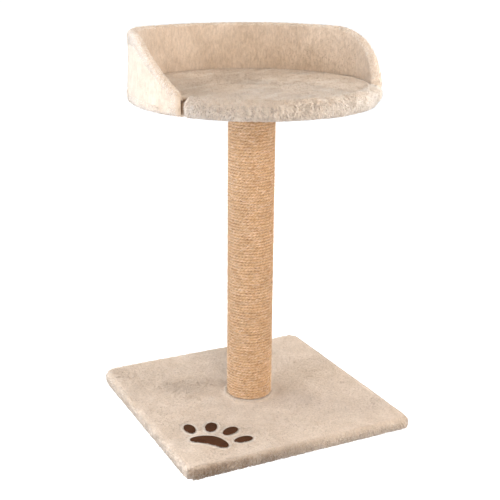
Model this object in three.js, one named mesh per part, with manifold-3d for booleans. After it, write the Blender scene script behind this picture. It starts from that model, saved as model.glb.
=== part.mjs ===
// A small cat scratching post: a plush-covered base board, a cardboard post wound with sisal
// rope, and a round padded seat with a plush back wall. Millimetres, +Z up. The origin is on
// the post's axis at floor level, and -Y is the open front of the seat.

import * as THREE from 'three';
import { mergeVertices } from 'three/addons/utils/BufferGeometryUtils.js';
import Module from 'manifold-3d';

const wasm = await Module();
wasm.setup();

// ---- Driving dimensions ----------------------------------------------------------------

const GAP = 0.3; // between pieces that lie on each other
const PLUSH = 2; // backing and laid pile
const HEM_WIDTH = 35; // plush turned under a board

// Base
const BASE_SIDE = 390; // over the plush
const BASE_CORNER = 16; // in plan, over the plush
const BASE_BOARD_THICK = 15;
const BASE_EDGE = 5; // the plush's round along the slab's edges

// Post
const POST_LENGTH = 492;
const POST_RADIUS = 36.6; // over the rope
const ROPE_PITCH = 4.73; // from one turn of rope to the next
const TUBE_WALL = 4;
const PLUG_THICK = 20;
const WINDING_GAP = 0.5; // between neighbouring loops of the winding
const ROPE_VALLEY = 0.45; // depth of the groove between turns, as a share of the pitch

// Bolt, stud, inserts and tee nut, all M8
const THREAD_RADIUS = 4;
const BOLT_LENGTH = 35;
const BOLT_HEAD_HEIGHT = 5.3;
const BOLT_HEAD_FLATS = 13;
const BOLT_SINK = 1; // bolt head below the board's underside
const WASHER_RADIUS = 9.5;
const WASHER_THICK = 1.6;
const WASHER_ROOM = 2; // round the washer in its recess
const INSERT_RADIUS = 6;
const INSERT_LENGTH = 16;
const STUD_LENGTH = 30;
const STUD_ABOVE_POST = 13;
const TEE_FLANGE_RADIUS = 11;
const TEE_FLANGE_THICK = 1.5;
const TEE_BARREL_RADIUS = 5.2;
const TEE_BARREL_LENGTH = 9;
const PRONG_WIDTH = 2.6;
const PRONG_THICK = 1.1;
const PRONG_LENGTH = 6;

// Seat
const SEAT_BOARD_RADIUS = 183;
const SEAT_BOARD_THICK = 15;
const SEAT_FORWARD = 7; // the seat's centre in front of the post's axis
const SEAT_PAD_THICK = 7.5;
const SEAT_CROWN = 1.5; // how far the middle of the seat swells
const FRONT_ROLL = 4; // wadding rolled over the board's front edge
const FRONT_EDGE = 11; // the plush's round along the front roll's upper edge
const FRONT_FOOT = 10; // and along its lower edge
const LINER_THICK = 0.8;
const LINER_OVERLAP = 15; // of the liner over the hems
const LINER_ROOM = 1; // round the post where it passes the liner

// Back wall
const WALL_HEIGHT = 100; // from the seat board's underside to the plush crown
const WALL_END_HEIGHT = 28; // the same, where the slanted ends come down
const WALL_HALF_ANGLE = 120.5; // from the middle of the back to an end, degrees
const WALL_SLANT = 2.4; // fall of the slanted ends, mm per degree
const WALL_BLEND = 36; // height over which the top turns into the slant
const WALL_SLIT = 1.8; // between a wall end and the front roll, degrees
const PANEL_THICK = 3;
const PANEL_LIFT = 2.3; // panel's lower edge above the seat board's underside
const WALL_PAD_THICK = 6.5;
const WALL_FOOT = 8; // the plush's round along the wall's lower edge
const WALL_SCREWS = 6;
const SCREW_SPACING = 42; // degrees
const SCREW_RADIUS = 2;
const SCREW_HEAD_RADIUS = 3.8;
const SCREW_HEAD_THICK = 2;
const SCREW_LENGTH = 25;

// Paw print
const PAW_INSET = 67; // the pad's middle in from the base's left and front sides
const PAW_TURN = 47; // clockwise from +Y, so that it points to the middle of the base, degrees
const PATCH_THICK = 1;
const PAD_HALF_WIDTH = 31;
const PAD_HALF_DEPTH = 13.8;
const TOE_HALF_LENGTH = 15;
const TOES = [
  // sideways and forward from the pad's middle, the toe's lean in degrees and its half width
  { name: 'paw_toe_1', side: -44.7, ahead: 21.8, lean: 42.5, halfWidth: 8.4 },
  { name: 'paw_toe_2', side: -16.2, ahead: 39, lean: 15, halfWidth: 9.2 },
  { name: 'paw_toe_3', side: 16.2, ahead: 39, lean: -15, halfWidth: 9.2 },
  { name: 'paw_toe_4', side: 44.7, ahead: 21.8, lean: -42.5, halfWidth: 8.4 },
];

// Facets
const ROUND_STEPS = 60; // round the seat
const TUBE_STEPS = 40; // round the post
const SMALL_STEPS = 16; // round bolts, nuts and screws
const WINDING_STEPS = 12; // round one loop of the winding
const CORNER_STEPS = 4; // round a corner of the base
const EDGE_STEPS = 2; // over the plush's round along the base's edges
const ROUND_EDGE_STEPS = 3; // over a round along the seat or the wall's foot
const CROWN_STEPS = 6; // over the plush on the wall's top
const PADDING_CROWN_STEPS = 4; // over the padding inside it
const SECTOR_STEPS = 8; // round the front of the seat
const PAD_STEPS = 6; // along each curve of the paw's pad
const TOE_STEPS = 10; // round half a toe
const WALL_STEP = 6; // degrees from one section of the wall to the next
const MAX_LOOPS = 24; // loops that the winding's solid may have

// ---- Heights that follow ---------------------------------------------------------------

const BASE_BOARD_BOTTOM = PLUSH + GAP;
const BASE_BOARD_TOP = BASE_BOARD_BOTTOM + BASE_BOARD_THICK;
const BASE_TOP = BASE_BOARD_TOP + GAP + PLUSH;
const BOLT_RECESS = BOLT_SINK + BOLT_HEAD_HEIGHT + WASHER_THICK + 2 * GAP;
const POST_BOTTOM = BASE_TOP + GAP;
const POST_TOP = POST_BOTTOM + POST_LENGTH;
const TUBE_RADIUS = POST_RADIUS - ROPE_PITCH - GAP;
const SEAT_BOTTOM = POST_TOP + GAP;
const SEAT_BOARD_TOP = SEAT_BOTTOM + SEAT_BOARD_THICK;
const SEAT_PAD_TOP = SEAT_BOARD_TOP + GAP + SEAT_PAD_THICK;
const SEAT_TOP = SEAT_PAD_TOP + GAP + PLUSH;
const HEM_TOP = SEAT_BOTTOM - GAP;
const HEM_BOTTOM = HEM_TOP - PLUSH;
const HEM_INNER = SEAT_BOARD_RADIUS - HEM_WIDTH;

// Radii of the layers on the seat board's edge, from the board outwards
const COVER_INNER = SEAT_BOARD_RADIUS + GAP;
const COVER_OUTER = COVER_INNER + PLUSH;
const PANEL_INNER = COVER_OUTER + GAP;
const PANEL_OUTER = PANEL_INNER + PANEL_THICK;
const WALL_OUTER = PANEL_OUTER + GAP + PLUSH;
const WALL_PAD_INNER = PANEL_INNER - GAP - WALL_PAD_THICK;
const WALL_INNER = WALL_PAD_INNER - GAP - PLUSH;
const ROLL_OUTER = COVER_INNER + FRONT_ROLL;
const FRONT_OUTER = ROLL_OUTER + GAP + PLUSH;
const FRONT_HALF_ANGLE = 180 - WALL_HALF_ANGLE - WALL_SLIT;

// ---- Meshes from profiles and sections -------------------------------------------------

const radians = THREE.MathUtils.degToRad;

// A point at a radius and an angle clockwise from +Y, seen from above.
function polar(radius, angle, height) {
  return new THREE.Vector3(radius * Math.sin(angle), radius * Math.cos(angle), height);
}

function meshOf(points, triangles) {
  const geometry = new THREE.BufferGeometry();
  const places = points.flatMap((p) => p.toArray());
  geometry.setAttribute('position', new THREE.Float32BufferAttribute(places, 3));
  geometry.setIndex(triangles.flat());
  return geometry;
}

// Joins rings of equal length, each a counter-clockwise section seen against the run, into one
// closed body, and closes both ends with the flat outline of the first and last section.
function loft(rings, firstOutline, lastOutline) {
  const count = rings[0].length;
  const triangles = [];
  for (let k = 0; k + 1 < rings.length; k += 1) {
    for (let j = 0; j < count; j += 1) {
      const next = (j + 1) % count;
      const a = k * count + j;
      const b = k * count + next;
      triangles.push([a, b, b + count], [a, b + count, a + count]);
    }
  }
  const last = (rings.length - 1) * count;
  for (const [a, b, c] of THREE.ShapeUtils.triangulateShape(firstOutline, [])) {
    triangles.push([c, b, a]);
  }
  for (const [a, b, c] of THREE.ShapeUtils.triangulateShape(lastOutline, [])) {
    triangles.push([last + a, last + b, last + c]);
  }
  return meshOf(rings.flat(), triangles);
}

// A section of radius and height, carried round the Z axis from one angle to another, with the
// section worked out anew at each step.
function bent(sectionAt, fromDegrees, toDegrees, steps) {
  const sections = [];
  const rings = [];
  for (let k = 0; k <= steps; k += 1) {
    const degrees = fromDegrees + ((toDegrees - fromDegrees) * k) / steps;
    const section = sectionAt(degrees);
    sections.push(section);
    rings.push(section.map((p) => polar(p.x, radians(degrees), p.y)));
  }
  return loft(rings, sections[0], sections[steps]);
}

// A profile of radius and height turned once round the Z axis. It runs counter-clockwise, from
// the axis at the bottom to the axis at the top, or round a ring that stays off the axis.
function turned(profile, steps) {
  const points = [];
  const starts = [];
  for (const [radius, height] of profile) {
    starts.push(points.length);
    const copies = radius === 0 ? 1 : steps;
    for (let s = 0; s < copies; s += 1) {
      points.push(polar(radius, (-2 * Math.PI * s) / steps, height));
    }
  }
  const onAxis = (i) => profile[i][0] === 0;
  const at = (i, s) => starts[i] + (onAxis(i) ? 0 : s % steps);
  const edges = onAxis(0) ? profile.length - 1 : profile.length;
  const triangles = [];
  for (let i = 0; i < edges; i += 1) {
    const next = (i + 1) % profile.length;
    for (let s = 0; s < steps; s += 1) {
      const [a, b, c, d] = [at(i, s), at(i, s + 1), at(next, s + 1), at(next, s)];
      if (!onAxis(i)) {
        triangles.push([a, b, c]);
      }
      if (!onAxis(next)) {
        triangles.push([a, c, d]);
      }
    }
  }
  return meshOf(points, triangles);
}

const disc = (radius, low, high, steps) => turned([[0, low], [radius, low], [radius, high], [0, high]], steps);

const ring = (inner, outer, low, high, steps) =>
  turned([[inner, low], [outer, low], [outer, high], [inner, high]], steps);

// Points on a quarter or half round, as radius and height, from one angle to another.
function arc(centreRadius, centreHeight, size, fromDegrees, toDegrees, steps) {
  const points = [];
  for (let k = 0; k <= steps; k += 1) {
    const angle = radians(fromDegrees + ((toDegrees - fromDegrees) * k) / steps);
    const across = centreRadius + size * Math.cos(angle);
    points.push(new THREE.Vector2(across, centreHeight + size * Math.sin(angle)));
  }
  return points;
}

// The rounded or, without a round, sharp lower and upper corner of a section.
function lowerRound(radius, low, round) {
  return round > 0
    ? arc(radius - round, low + round, round, -90, 0, ROUND_EDGE_STEPS)
    : [new THREE.Vector2(radius, low)];
}

function upperRound(radius, high, round) {
  return round > 0
    ? arc(radius - round, high - round, round, 0, 90, ROUND_EDGE_STEPS)
    : [new THREE.Vector2(radius, high)];
}

// ---- Cuts and joins --------------------------------------------------------------------

function toSolid(geometry) {
  const bare = geometry.clone();
  bare.deleteAttribute('normal');
  bare.deleteAttribute('uv');
  const merged = mergeVertices(bare, 1e-4);
  return new wasm.Manifold(new wasm.Mesh({
    numProp: 3,
    vertProperties: merged.attributes.position.array,
    triVerts: new Uint32Array(merged.index.array),
  }));
}

function toGeometry(solid) {
  const mesh = solid.getMesh();
  const geometry = new THREE.BufferGeometry();
  geometry.setAttribute('position', new THREE.BufferAttribute(mesh.vertProperties, 3));
  geometry.setIndex(new THREE.BufferAttribute(mesh.triVerts, 1));
  return geometry;
}

function cut(body, ...tools) {
  return toGeometry(tools.reduce((solid, tool) => solid.subtract(toSolid(tool)), toSolid(body)));
}

function join(...bodies) {
  return toGeometry(bodies.map(toSolid).reduce((solid, other) => solid.add(other)));
}

const overlap = (body, other) => toGeometry(toSolid(body).intersect(toSolid(other)));

// ---- The assembly ----------------------------------------------------------------------

const post = new THREE.Group();
const seat = new THREE.Group();
seat.position.y = -SEAT_FORWARD;
post.add(seat);

const plushLook = new THREE.MeshStandardMaterial({ color: 0xdcc8ab, roughness: 0.95 });
const clothLook = new THREE.MeshStandardMaterial({ color: 0xb9ad9a, roughness: 0.95 });
const foamLook = new THREE.MeshStandardMaterial({ color: 0xeeeae0, roughness: 0.9 });
const chipboardLook = new THREE.MeshStandardMaterial({ color: 0xc29a66, roughness: 0.8 });
const hardboardLook = new THREE.MeshStandardMaterial({ color: 0x7d5a3a, roughness: 0.7 });
const cardboardLook = new THREE.MeshStandardMaterial({ color: 0xa98a63, roughness: 0.9 });
const sisalLook = new THREE.MeshStandardMaterial({ color: 0xcfa468, roughness: 0.85 });
const threadLook = new THREE.MeshStandardMaterial({ color: 0x4b331f, roughness: 0.7 });
const steelLook = new THREE.MeshStandardMaterial({ color: 0xb4b6b8, roughness: 0.35, metalness: 1 });

function place(group, name, geometry, look) {
  const mesh = new THREE.Mesh(geometry, look);
  mesh.name = name;
  group.add(mesh);
  return mesh;
}

// ---- Base ------------------------------------------------------------------------------

function roundedSquare(side, corner) {
  const half = side / 2;
  const inner = half - corner;
  const shape = new THREE.Shape();
  shape.absarc(inner, inner, corner, 0, Math.PI / 2);
  shape.absarc(-inner, inner, corner, Math.PI / 2, Math.PI);
  shape.absarc(-inner, -inner, corner, Math.PI, 1.5 * Math.PI);
  shape.absarc(inner, -inner, corner, 1.5 * Math.PI, 2 * Math.PI);
  return shape;
}

function slab(side, corner, low, high) {
  const body = new THREE.ExtrudeGeometry(roundedSquare(side, corner), {
    depth: high - low,
    bevelEnabled: false,
    curveSegments: CORNER_STEPS,
  });
  return body.translate(0, 0, low);
}

// The plush on the board: a rounded slab, hollowed for the board, with a window underneath that
// leaves the hem, and a hole for the bolt.
function baseCover() {
  const outline = roundedSquare(BASE_SIDE - 2 * BASE_EDGE, BASE_CORNER - BASE_EDGE);
  const outside = new THREE.ExtrudeGeometry(outline, {
    depth: BASE_TOP - 2 * BASE_EDGE,
    bevelSize: BASE_EDGE,
    bevelThickness: BASE_EDGE,
    bevelSegments: EDGE_STEPS,
    curveSegments: CORNER_STEPS,
  }).translate(0, 0, BASE_EDGE);
  const pocket = BASE_SIDE - 2 * PLUSH;
  const corner = BASE_CORNER - PLUSH;
  const window = BASE_SIDE - 2 * (PLUSH + GAP + HEM_WIDTH);
  return cut(
    outside,
    slab(pocket, corner, PLUSH, BASE_BOARD_TOP + GAP),
    slab(window, corner, -GAP, PLUSH + GAP),
    disc(THREAD_RADIUS + GAP, BASE_BOARD_TOP, BASE_TOP + GAP, SMALL_STEPS),
  );
}

function baseBoard() {
  const side = BASE_SIDE - 2 * (PLUSH + GAP);
  return cut(
    slab(side, BASE_CORNER - PLUSH - GAP, BASE_BOARD_BOTTOM, BASE_BOARD_TOP),
    disc(WASHER_RADIUS + WASHER_ROOM, BASE_BOARD_BOTTOM - GAP, BASE_BOARD_BOTTOM + BOLT_RECESS, SMALL_STEPS),
    disc(THREAD_RADIUS + GAP, BASE_BOARD_BOTTOM, BASE_BOARD_TOP + GAP, SMALL_STEPS),
  );
}

const washerTop = BASE_BOARD_BOTTOM + BOLT_RECESS - GAP;
const boltHeadTop = washerTop - WASHER_THICK - GAP;

function baseBolt() {
  const headRadius = BOLT_HEAD_FLATS / 2 / Math.cos(Math.PI / 6);
  return join(
    disc(headRadius, boltHeadTop - BOLT_HEAD_HEIGHT, boltHeadTop, 6),
    disc(THREAD_RADIUS, boltHeadTop - BOLT_HEAD_HEIGHT / 2, boltHeadTop + BOLT_LENGTH, SMALL_STEPS),
  );
}

place(post, 'base_cover', baseCover(), plushLook);
place(post, 'base_board', baseBoard(), chipboardLook);
const washer = ring(THREAD_RADIUS + GAP, WASHER_RADIUS, washerTop - WASHER_THICK, washerTop, SMALL_STEPS);
place(post, 'base_washer', washer, steelLook);
place(post, 'base_bolt', baseBolt(), steelLook);

// ---- Paw print -------------------------------------------------------------------------

function patch(shape, curveSegments) {
  return new THREE.ExtrudeGeometry(shape, { depth: PATCH_THICK, bevelEnabled: false, curveSegments });
}

// The pad: bowed towards the toes, a little hollow behind, with round ends.
function pawPad() {
  const [w, d] = [PAD_HALF_WIDTH, PAD_HALF_DEPTH];
  const shape = new THREE.Shape();
  shape.moveTo(-0.7 * w, -d);
  shape.quadraticCurveTo(0, -0.6 * d, 0.7 * w, -d);
  shape.bezierCurveTo(1.08 * w, -d, 1.08 * w, -0.2 * d, 0.8 * w, 0.25 * d);
  shape.bezierCurveTo(0.55 * w, 0.75 * d, 0.25 * w, d, 0, d);
  shape.bezierCurveTo(-0.25 * w, d, -0.55 * w, 0.75 * d, -0.8 * w, 0.25 * d);
  shape.bezierCurveTo(-1.08 * w, -0.2 * d, -1.08 * w, -d, -0.7 * w, -d);
  return patch(shape, PAD_STEPS);
}

function pawToe(halfWidth) {
  const shape = new THREE.Shape();
  shape.absellipse(0, 0, halfWidth, TOE_HALF_LENGTH, 0, 2 * Math.PI);
  return patch(shape, TOE_STEPS);
}

const paw = new THREE.Group();
const pawCentre = PAW_INSET - BASE_SIDE / 2;
paw.position.set(pawCentre, pawCentre, BASE_TOP + GAP);
paw.rotation.z = -radians(PAW_TURN);
post.add(paw);
place(paw, 'paw_pad', pawPad(), threadLook);
for (const { name, side, ahead, lean, halfWidth } of TOES) {
  const toe = place(paw, name, pawToe(halfWidth), threadLook);
  toe.position.set(side, ahead, 0);
  toe.rotation.z = radians(lean);
}

// ---- Post ------------------------------------------------------------------------------

// The winding is one unbroken strip that climbs the tube in up to MAX_LOOPS loops. The rope goes
// round more often than that, so the strip carries several turns of rope side by side, each a
// ridge at the rope's own pitch. It is cut level at the base and at the seat.
function windingStrip() {
  const ropes = Math.ceil(POST_LENGTH / ROPE_PITCH / MAX_LOOPS);
  const climb = ropes * ROPE_PITCH;
  const loops = Math.ceil(POST_LENGTH / climb) + 2;
  const halfTurn = Math.PI / WINDING_STEPS;
  const inner = (TUBE_RADIUS + GAP) / Math.cos(halfTurn);
  const outer = POST_RADIUS / Math.cos(halfTurn / 2);
  const valley = outer - ROPE_PITCH * ROPE_VALLEY;
  const half = (climb - WINDING_GAP) / 2;
  const outline = [new THREE.Vector2(inner, half), new THREE.Vector2(inner, -half)];
  for (let i = 0; i < ropes; i += 1) {
    const middle = (i - (ropes - 1) / 2) * ROPE_PITCH;
    outline.push(new THREE.Vector2(outer, middle));
    if (i < ropes - 1) {
      outline.push(new THREE.Vector2(valley, middle + ROPE_PITCH / 2));
    }
  }
  const rings = [];
  for (let k = 0; k <= loops * WINDING_STEPS; k += 1) {
    const height = POST_BOTTOM - climb + (climb * k) / WINDING_STEPS;
    const angle = (2 * Math.PI * k) / WINDING_STEPS;
    rings.push(outline.map((p) => polar(p.x, angle, height + p.y)));
  }
  return { outline, rings };
}

// The least distance between points of one loop and points of the loop above it.
function leastGap(rings) {
  let least = Infinity;
  for (let k = 0; k + WINDING_STEPS < rings.length; k += 1) {
    for (const p of rings[k]) {
      for (const q of rings[k + WINDING_STEPS]) {
        least = Math.min(least, p.distanceTo(q));
      }
    }
  }
  return least;
}

function sisalWinding() {
  const { outline, rings } = windingStrip();
  console.log(`sisal winding: least gap to itself ${leastGap(rings).toFixed(2)} mm`);
  const reach = ring(TUBE_RADIUS, POST_RADIUS + ROPE_PITCH, POST_BOTTOM, POST_TOP, TUBE_STEPS);
  return overlap(loft(rings, outline, outline), reach);
}

// The tube's wooden plugs, bored for their inserts.
function postPlug(low) {
  const radius = TUBE_RADIUS - TUBE_WALL - GAP;
  return ring(INSERT_RADIUS + GAP, radius, low, low + PLUG_THICK, TUBE_STEPS / 2);
}

function postInsert(low) {
  return ring(THREAD_RADIUS + GAP, INSERT_RADIUS, low, low + INSERT_LENGTH, SMALL_STEPS);
}

const tube = ring(TUBE_RADIUS - TUBE_WALL, TUBE_RADIUS, POST_BOTTOM, POST_TOP, TUBE_STEPS);
place(post, 'post_tube', tube, cardboardLook);
place(post, 'post_plug_bottom', postPlug(POST_BOTTOM), chipboardLook);
place(post, 'post_plug_top', postPlug(POST_TOP - PLUG_THICK), chipboardLook);
place(post, 'post_insert_bottom', postInsert(POST_BOTTOM), steelLook);
place(post, 'post_insert_top', postInsert(POST_TOP - INSERT_LENGTH), steelLook);
const studBottom = POST_TOP + STUD_ABOVE_POST - STUD_LENGTH;
place(post, 'post_stud', disc(THREAD_RADIUS, studBottom, studBottom + STUD_LENGTH, SMALL_STEPS), steelLook);
place(post, 'sisal_winding', sisalWinding(), sisalLook);

// ---- Seat ------------------------------------------------------------------------------

const teeFlangeBottom = SEAT_BOARD_TOP - TEE_FLANGE_THICK;

// A flange, a barrel and four prongs, swollen by a clearance where the board is cut for them.
function teeNutBody(clearance) {
  const flange = disc(TEE_FLANGE_RADIUS + clearance, teeFlangeBottom - clearance, SEAT_BOARD_TOP + clearance,
    SMALL_STEPS);
  const barrelBottom = teeFlangeBottom - TEE_BARREL_LENGTH - clearance;
  const barrel = disc(TEE_BARREL_RADIUS + clearance, barrelBottom, SEAT_BOARD_TOP, SMALL_STEPS);
  const prongs = [];
  for (let i = 0; i < 4; i += 1) {
    const prong = new THREE.BoxGeometry(
      PRONG_THICK + 2 * clearance,
      PRONG_WIDTH + 2 * clearance,
      PRONG_LENGTH + TEE_FLANGE_THICK / 2 + clearance,
    );
    prong.translate(
      TEE_FLANGE_RADIUS - PRONG_THICK,
      0,
      teeFlangeBottom + TEE_FLANGE_THICK / 2 - (PRONG_LENGTH + TEE_FLANGE_THICK / 2 + clearance) / 2,
    );
    prongs.push(prong.rotateZ((i * Math.PI) / 2));
  }
  return join(flange, barrel, ...prongs);
}

function onPostAxis(geometry) {
  return geometry.translate(0, SEAT_FORWARD, 0);
}

function seatTeeNut() {
  return cut(teeNutBody(0), disc(THREAD_RADIUS + GAP, SEAT_BOTTOM, SEAT_BOARD_TOP + GAP, SMALL_STEPS));
}

// The angles of the wall's screws, from the middle of the back.
const middleScrew = (WALL_SCREWS - 1) / 2;
const screwAngles = Array.from({ length: WALL_SCREWS }, (_, i) => (i - middleScrew) * SCREW_SPACING);
const screwHeight = SEAT_BOTTOM + SEAT_BOARD_THICK / 2;

// A countersunk screw that lies along +Y, its head flush with the panel, swollen by a clearance.
function screwBody(clearance) {
  const tip = PANEL_OUTER - SCREW_LENGTH;
  const shank = SCREW_RADIUS + clearance;
  const head = SCREW_HEAD_RADIUS + clearance;
  const profile = [
    [0, tip - 2 * clearance],
    [shank, tip + SCREW_RADIUS],
    [shank, PANEL_OUTER - SCREW_HEAD_THICK - clearance],
    [head, PANEL_OUTER + (clearance > 0 ? GAP : 0)],
    [0, PANEL_OUTER + (clearance > 0 ? GAP : 0)],
  ];
  return turned(profile, SMALL_STEPS / 2).rotateX(-Math.PI / 2).translate(0, 0, screwHeight);
}

const screwHoles = () => screwAngles.map((angle) => screwBody(GAP).rotateZ(-radians(angle)));

function seatBoard() {
  return cut(
    disc(SEAT_BOARD_RADIUS, SEAT_BOTTOM, SEAT_BOARD_TOP, ROUND_STEPS),
    onPostAxis(teeNutBody(GAP)),
    onPostAxis(disc(THREAD_RADIUS + GAP, SEAT_BOTTOM - GAP, SEAT_BOARD_TOP, SMALL_STEPS)),
    ...screwHoles(),
  );
}

// The sector of a ring between two angles either side of the front.
function frontSector(halfAngle, low, high) {
  const section = [
    new THREE.Vector2(GAP, low),
    new THREE.Vector2(2 * SEAT_BOARD_RADIUS, low),
    new THREE.Vector2(2 * SEAT_BOARD_RADIUS, high),
    new THREE.Vector2(GAP, high),
  ];
  return bent(() => section, 180 - halfAngle, 180 + halfAngle, SECTOR_STEPS);
}

// A disc with a rounded rim, whose top swells by the crown towards the middle.
function roundedDisc(radius, low, high, edge, foot) {
  const rim = [...lowerRound(radius, low, foot), ...upperRound(radius, high, edge)].map((p) => p.toArray());
  return turned([[0, low], ...rim, [0, high + SEAT_CROWN]], ROUND_STEPS);
}

// The plush over the seat: pressed thin behind the wall, with a padded roll and a hem at the front.
function seatCover() {
  const front = overlap(
    roundedDisc(FRONT_OUTER, HEM_BOTTOM, SEAT_TOP, FRONT_EDGE, FRONT_FOOT),
    frontSector(FRONT_HALF_ANGLE, HEM_BOTTOM - PLUSH, SEAT_TOP + PLUSH),
  );
  const whole = roundedDisc(COVER_OUTER, SEAT_BOTTOM, SEAT_TOP, 0, 0);
  const sideWall = THREE.MathUtils.radToDeg(PLUSH / SEAT_BOARD_RADIUS);
  const rollSpace = overlap(
    roundedDisc(ROLL_OUTER + GAP, HEM_TOP, SEAT_PAD_TOP + GAP, FRONT_EDGE - PLUSH, FRONT_FOOT - PLUSH),
    frontSector(FRONT_HALF_ANGLE - sideWall, HEM_BOTTOM, SEAT_TOP),
  );
  return cut(
    join(front, whole),
    roundedDisc(COVER_INNER, HEM_TOP, SEAT_PAD_TOP + GAP, 0, 0),
    rollSpace,
    disc(HEM_INNER, HEM_BOTTOM - PLUSH, SEAT_BOTTOM + GAP, ROUND_STEPS),
    ...screwHoles(),
  );
}

// The wadding under the plush, rolled over the board's edge at the front.
function seatPadding() {
  const sideWall = THREE.MathUtils.radToDeg((PLUSH + GAP) / SEAT_BOARD_RADIUS);
  const skin = PLUSH + GAP;
  const roll = overlap(
    roundedDisc(ROLL_OUTER, SEAT_BOTTOM, SEAT_PAD_TOP, FRONT_EDGE - skin, FRONT_FOOT - skin),
    frontSector(FRONT_HALF_ANGLE - sideWall, HEM_BOTTOM, SEAT_TOP),
  );
  const pad = roundedDisc(SEAT_BOARD_RADIUS, SEAT_BOTTOM, SEAT_PAD_TOP, 0, 0);
  return cut(join(roll, pad), disc(COVER_INNER, SEAT_BOTTOM - GAP, SEAT_BOARD_TOP + GAP, ROUND_STEPS));
}

function seatLiner() {
  const outer = HEM_INNER + LINER_OVERLAP;
  const low = HEM_BOTTOM - GAP - LINER_THICK;
  return cut(
    disc(outer, low, low + LINER_THICK, ROUND_STEPS),
    onPostAxis(disc(POST_RADIUS + LINER_ROOM, low - GAP, low + LINER_THICK + GAP, TUBE_STEPS)),
  );
}

place(seat, 'seat_board', seatBoard(), chipboardLook);
place(post, 'seat_tee_nut', seatTeeNut(), steelLook);
place(seat, 'seat_padding', seatPadding(), foamLook);
place(seat, 'seat_cover', seatCover(), plushLook);
place(seat, 'seat_liner', seatLiner(), clothLook);

// ---- Back wall -------------------------------------------------------------------------

// The height of the wall's crown at an angle from the middle of the back: level, then turning
// smoothly into the slanted end.
function wallTop(degrees) {
  const level = SEAT_BOTTOM + WALL_HEIGHT;
  const slant = SEAT_BOTTOM + WALL_END_HEIGHT + WALL_SLANT * (WALL_HALF_ANGLE - Math.abs(degrees));
  const blend = Math.max(WALL_BLEND - Math.abs(level - slant), 0) / WALL_BLEND;
  return Math.min(level, slant) - (blend * blend * WALL_BLEND) / 4;
}

// The section of an upright wall with a half-round top and a rounded outer foot.
function wallSection(inner, outer, low, top, foot, crownSteps) {
  const crown = (outer - inner) / 2;
  return [
    new THREE.Vector2(inner, low),
    ...lowerRound(outer, low, foot),
    ...arc(inner + crown, top - crown, crown, 0, 180, crownSteps),
  ];
}

const WALL_STEPS = Math.round((2 * WALL_HALF_ANGLE) / WALL_STEP);

// Angles, in degrees, that a thickness takes at the wall's ends.
const wallDegrees = (thickness) => THREE.MathUtils.radToDeg(thickness / WALL_OUTER);

// The space that the seat takes inside the wall, grown by a clearance. The seat swells towards its
// middle, so it is a little higher at the wall's inner face than at its own edge.
function seatSpace(clearance) {
  const rise = SEAT_CROWN * (1 - WALL_INNER / COVER_OUTER);
  return disc(COVER_OUTER + clearance, HEM_TOP, SEAT_TOP + rise + clearance, ROUND_STEPS);
}

function wallPanelBody(clearance, endAngle) {
  const section = (degrees) => {
    const low = SEAT_BOTTOM + PANEL_LIFT - clearance;
    const top = wallTop(degrees) - (WALL_OUTER - WALL_INNER) / 2 - GAP + clearance;
    return [
      new THREE.Vector2(PANEL_INNER - clearance, low),
      new THREE.Vector2(PANEL_OUTER + clearance, low),
      new THREE.Vector2(PANEL_OUTER + clearance, top),
      new THREE.Vector2(PANEL_INNER - clearance, top),
    ];
  };
  return bent(section, -endAngle, endAngle, WALL_STEPS);
}

// The plush sleeve: outer face, crown and inner face, with a hem under the board.
function wallCover() {
  const outside = cut(
    bent(
      (degrees) => wallSection(WALL_INNER, WALL_OUTER, HEM_BOTTOM, wallTop(degrees), WALL_FOOT, CROWN_STEPS),
      -WALL_HALF_ANGLE,
      WALL_HALF_ANGLE,
      WALL_STEPS,
    ),
    seatSpace(GAP),
  );
  const hemSection = [
    new THREE.Vector2(HEM_INNER, HEM_BOTTOM),
    new THREE.Vector2(PANEL_INNER - GAP, HEM_BOTTOM),
    new THREE.Vector2(PANEL_INNER - GAP, HEM_TOP),
    new THREE.Vector2(HEM_INNER, HEM_TOP),
  ];
  const hem = bent(() => hemSection, -WALL_HALF_ANGLE, WALL_HALF_ANGLE, WALL_STEPS);
  const endAngle = WALL_HALF_ANGLE - wallDegrees(PLUSH);
  const hollowLow = SEAT_BOTTOM + PANEL_LIFT - GAP;
  const hollow = bent((degrees) => {
    const top = wallTop(degrees) - PLUSH;
    return wallSection(WALL_INNER + PLUSH, WALL_OUTER - PLUSH, hollowLow, top, 0, PADDING_CROWN_STEPS);
  }, -endAngle, endAngle, WALL_STEPS);
  return cut(join(outside, hem), hollow);
}

// Foam inside the sleeve, on the panel's inner face and over its top edge.
function wallPadding() {
  const endAngle = WALL_HALF_ANGLE - wallDegrees(PLUSH + GAP);
  const fill = bent((degrees) => {
    const top = wallTop(degrees) - PLUSH - GAP;
    return wallSection(WALL_PAD_INNER, PANEL_OUTER, SEAT_BOTTOM + PANEL_LIFT, top, 0, PADDING_CROWN_STEPS);
  }, -endAngle, endAngle, WALL_STEPS);
  return cut(fill, seatSpace(2 * GAP), wallPanelBody(GAP, WALL_HALF_ANGLE));
}

function wallPanel() {
  return cut(wallPanelBody(0, WALL_HALF_ANGLE - wallDegrees(PLUSH + GAP)), ...screwHoles());
}

place(seat, 'wall_cover', wallCover(), plushLook);
place(seat, 'wall_padding', wallPadding(), foamLook);
place(seat, 'wall_panel', wallPanel(), hardboardLook);
screwAngles.forEach((angle, i) => {
  const screw = place(seat, `wall_screw_${i + 1}`, screwBody(0), steelLook);
  screw.rotation.z = -radians(angle);
});

export default post;
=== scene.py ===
"""The looks of a small cat scratching post: long-wearing plush over the base and the seat, three-strand
sisal rope on the post, an embroidered paw print, and the boards and fasteners inside.

Shapes are worked out in millimetres, as whole numpy arrays, and go into the meshes in metres.
"""

import math

import bpy
import numpy as np
from mathutils import Matrix, Vector


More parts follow.
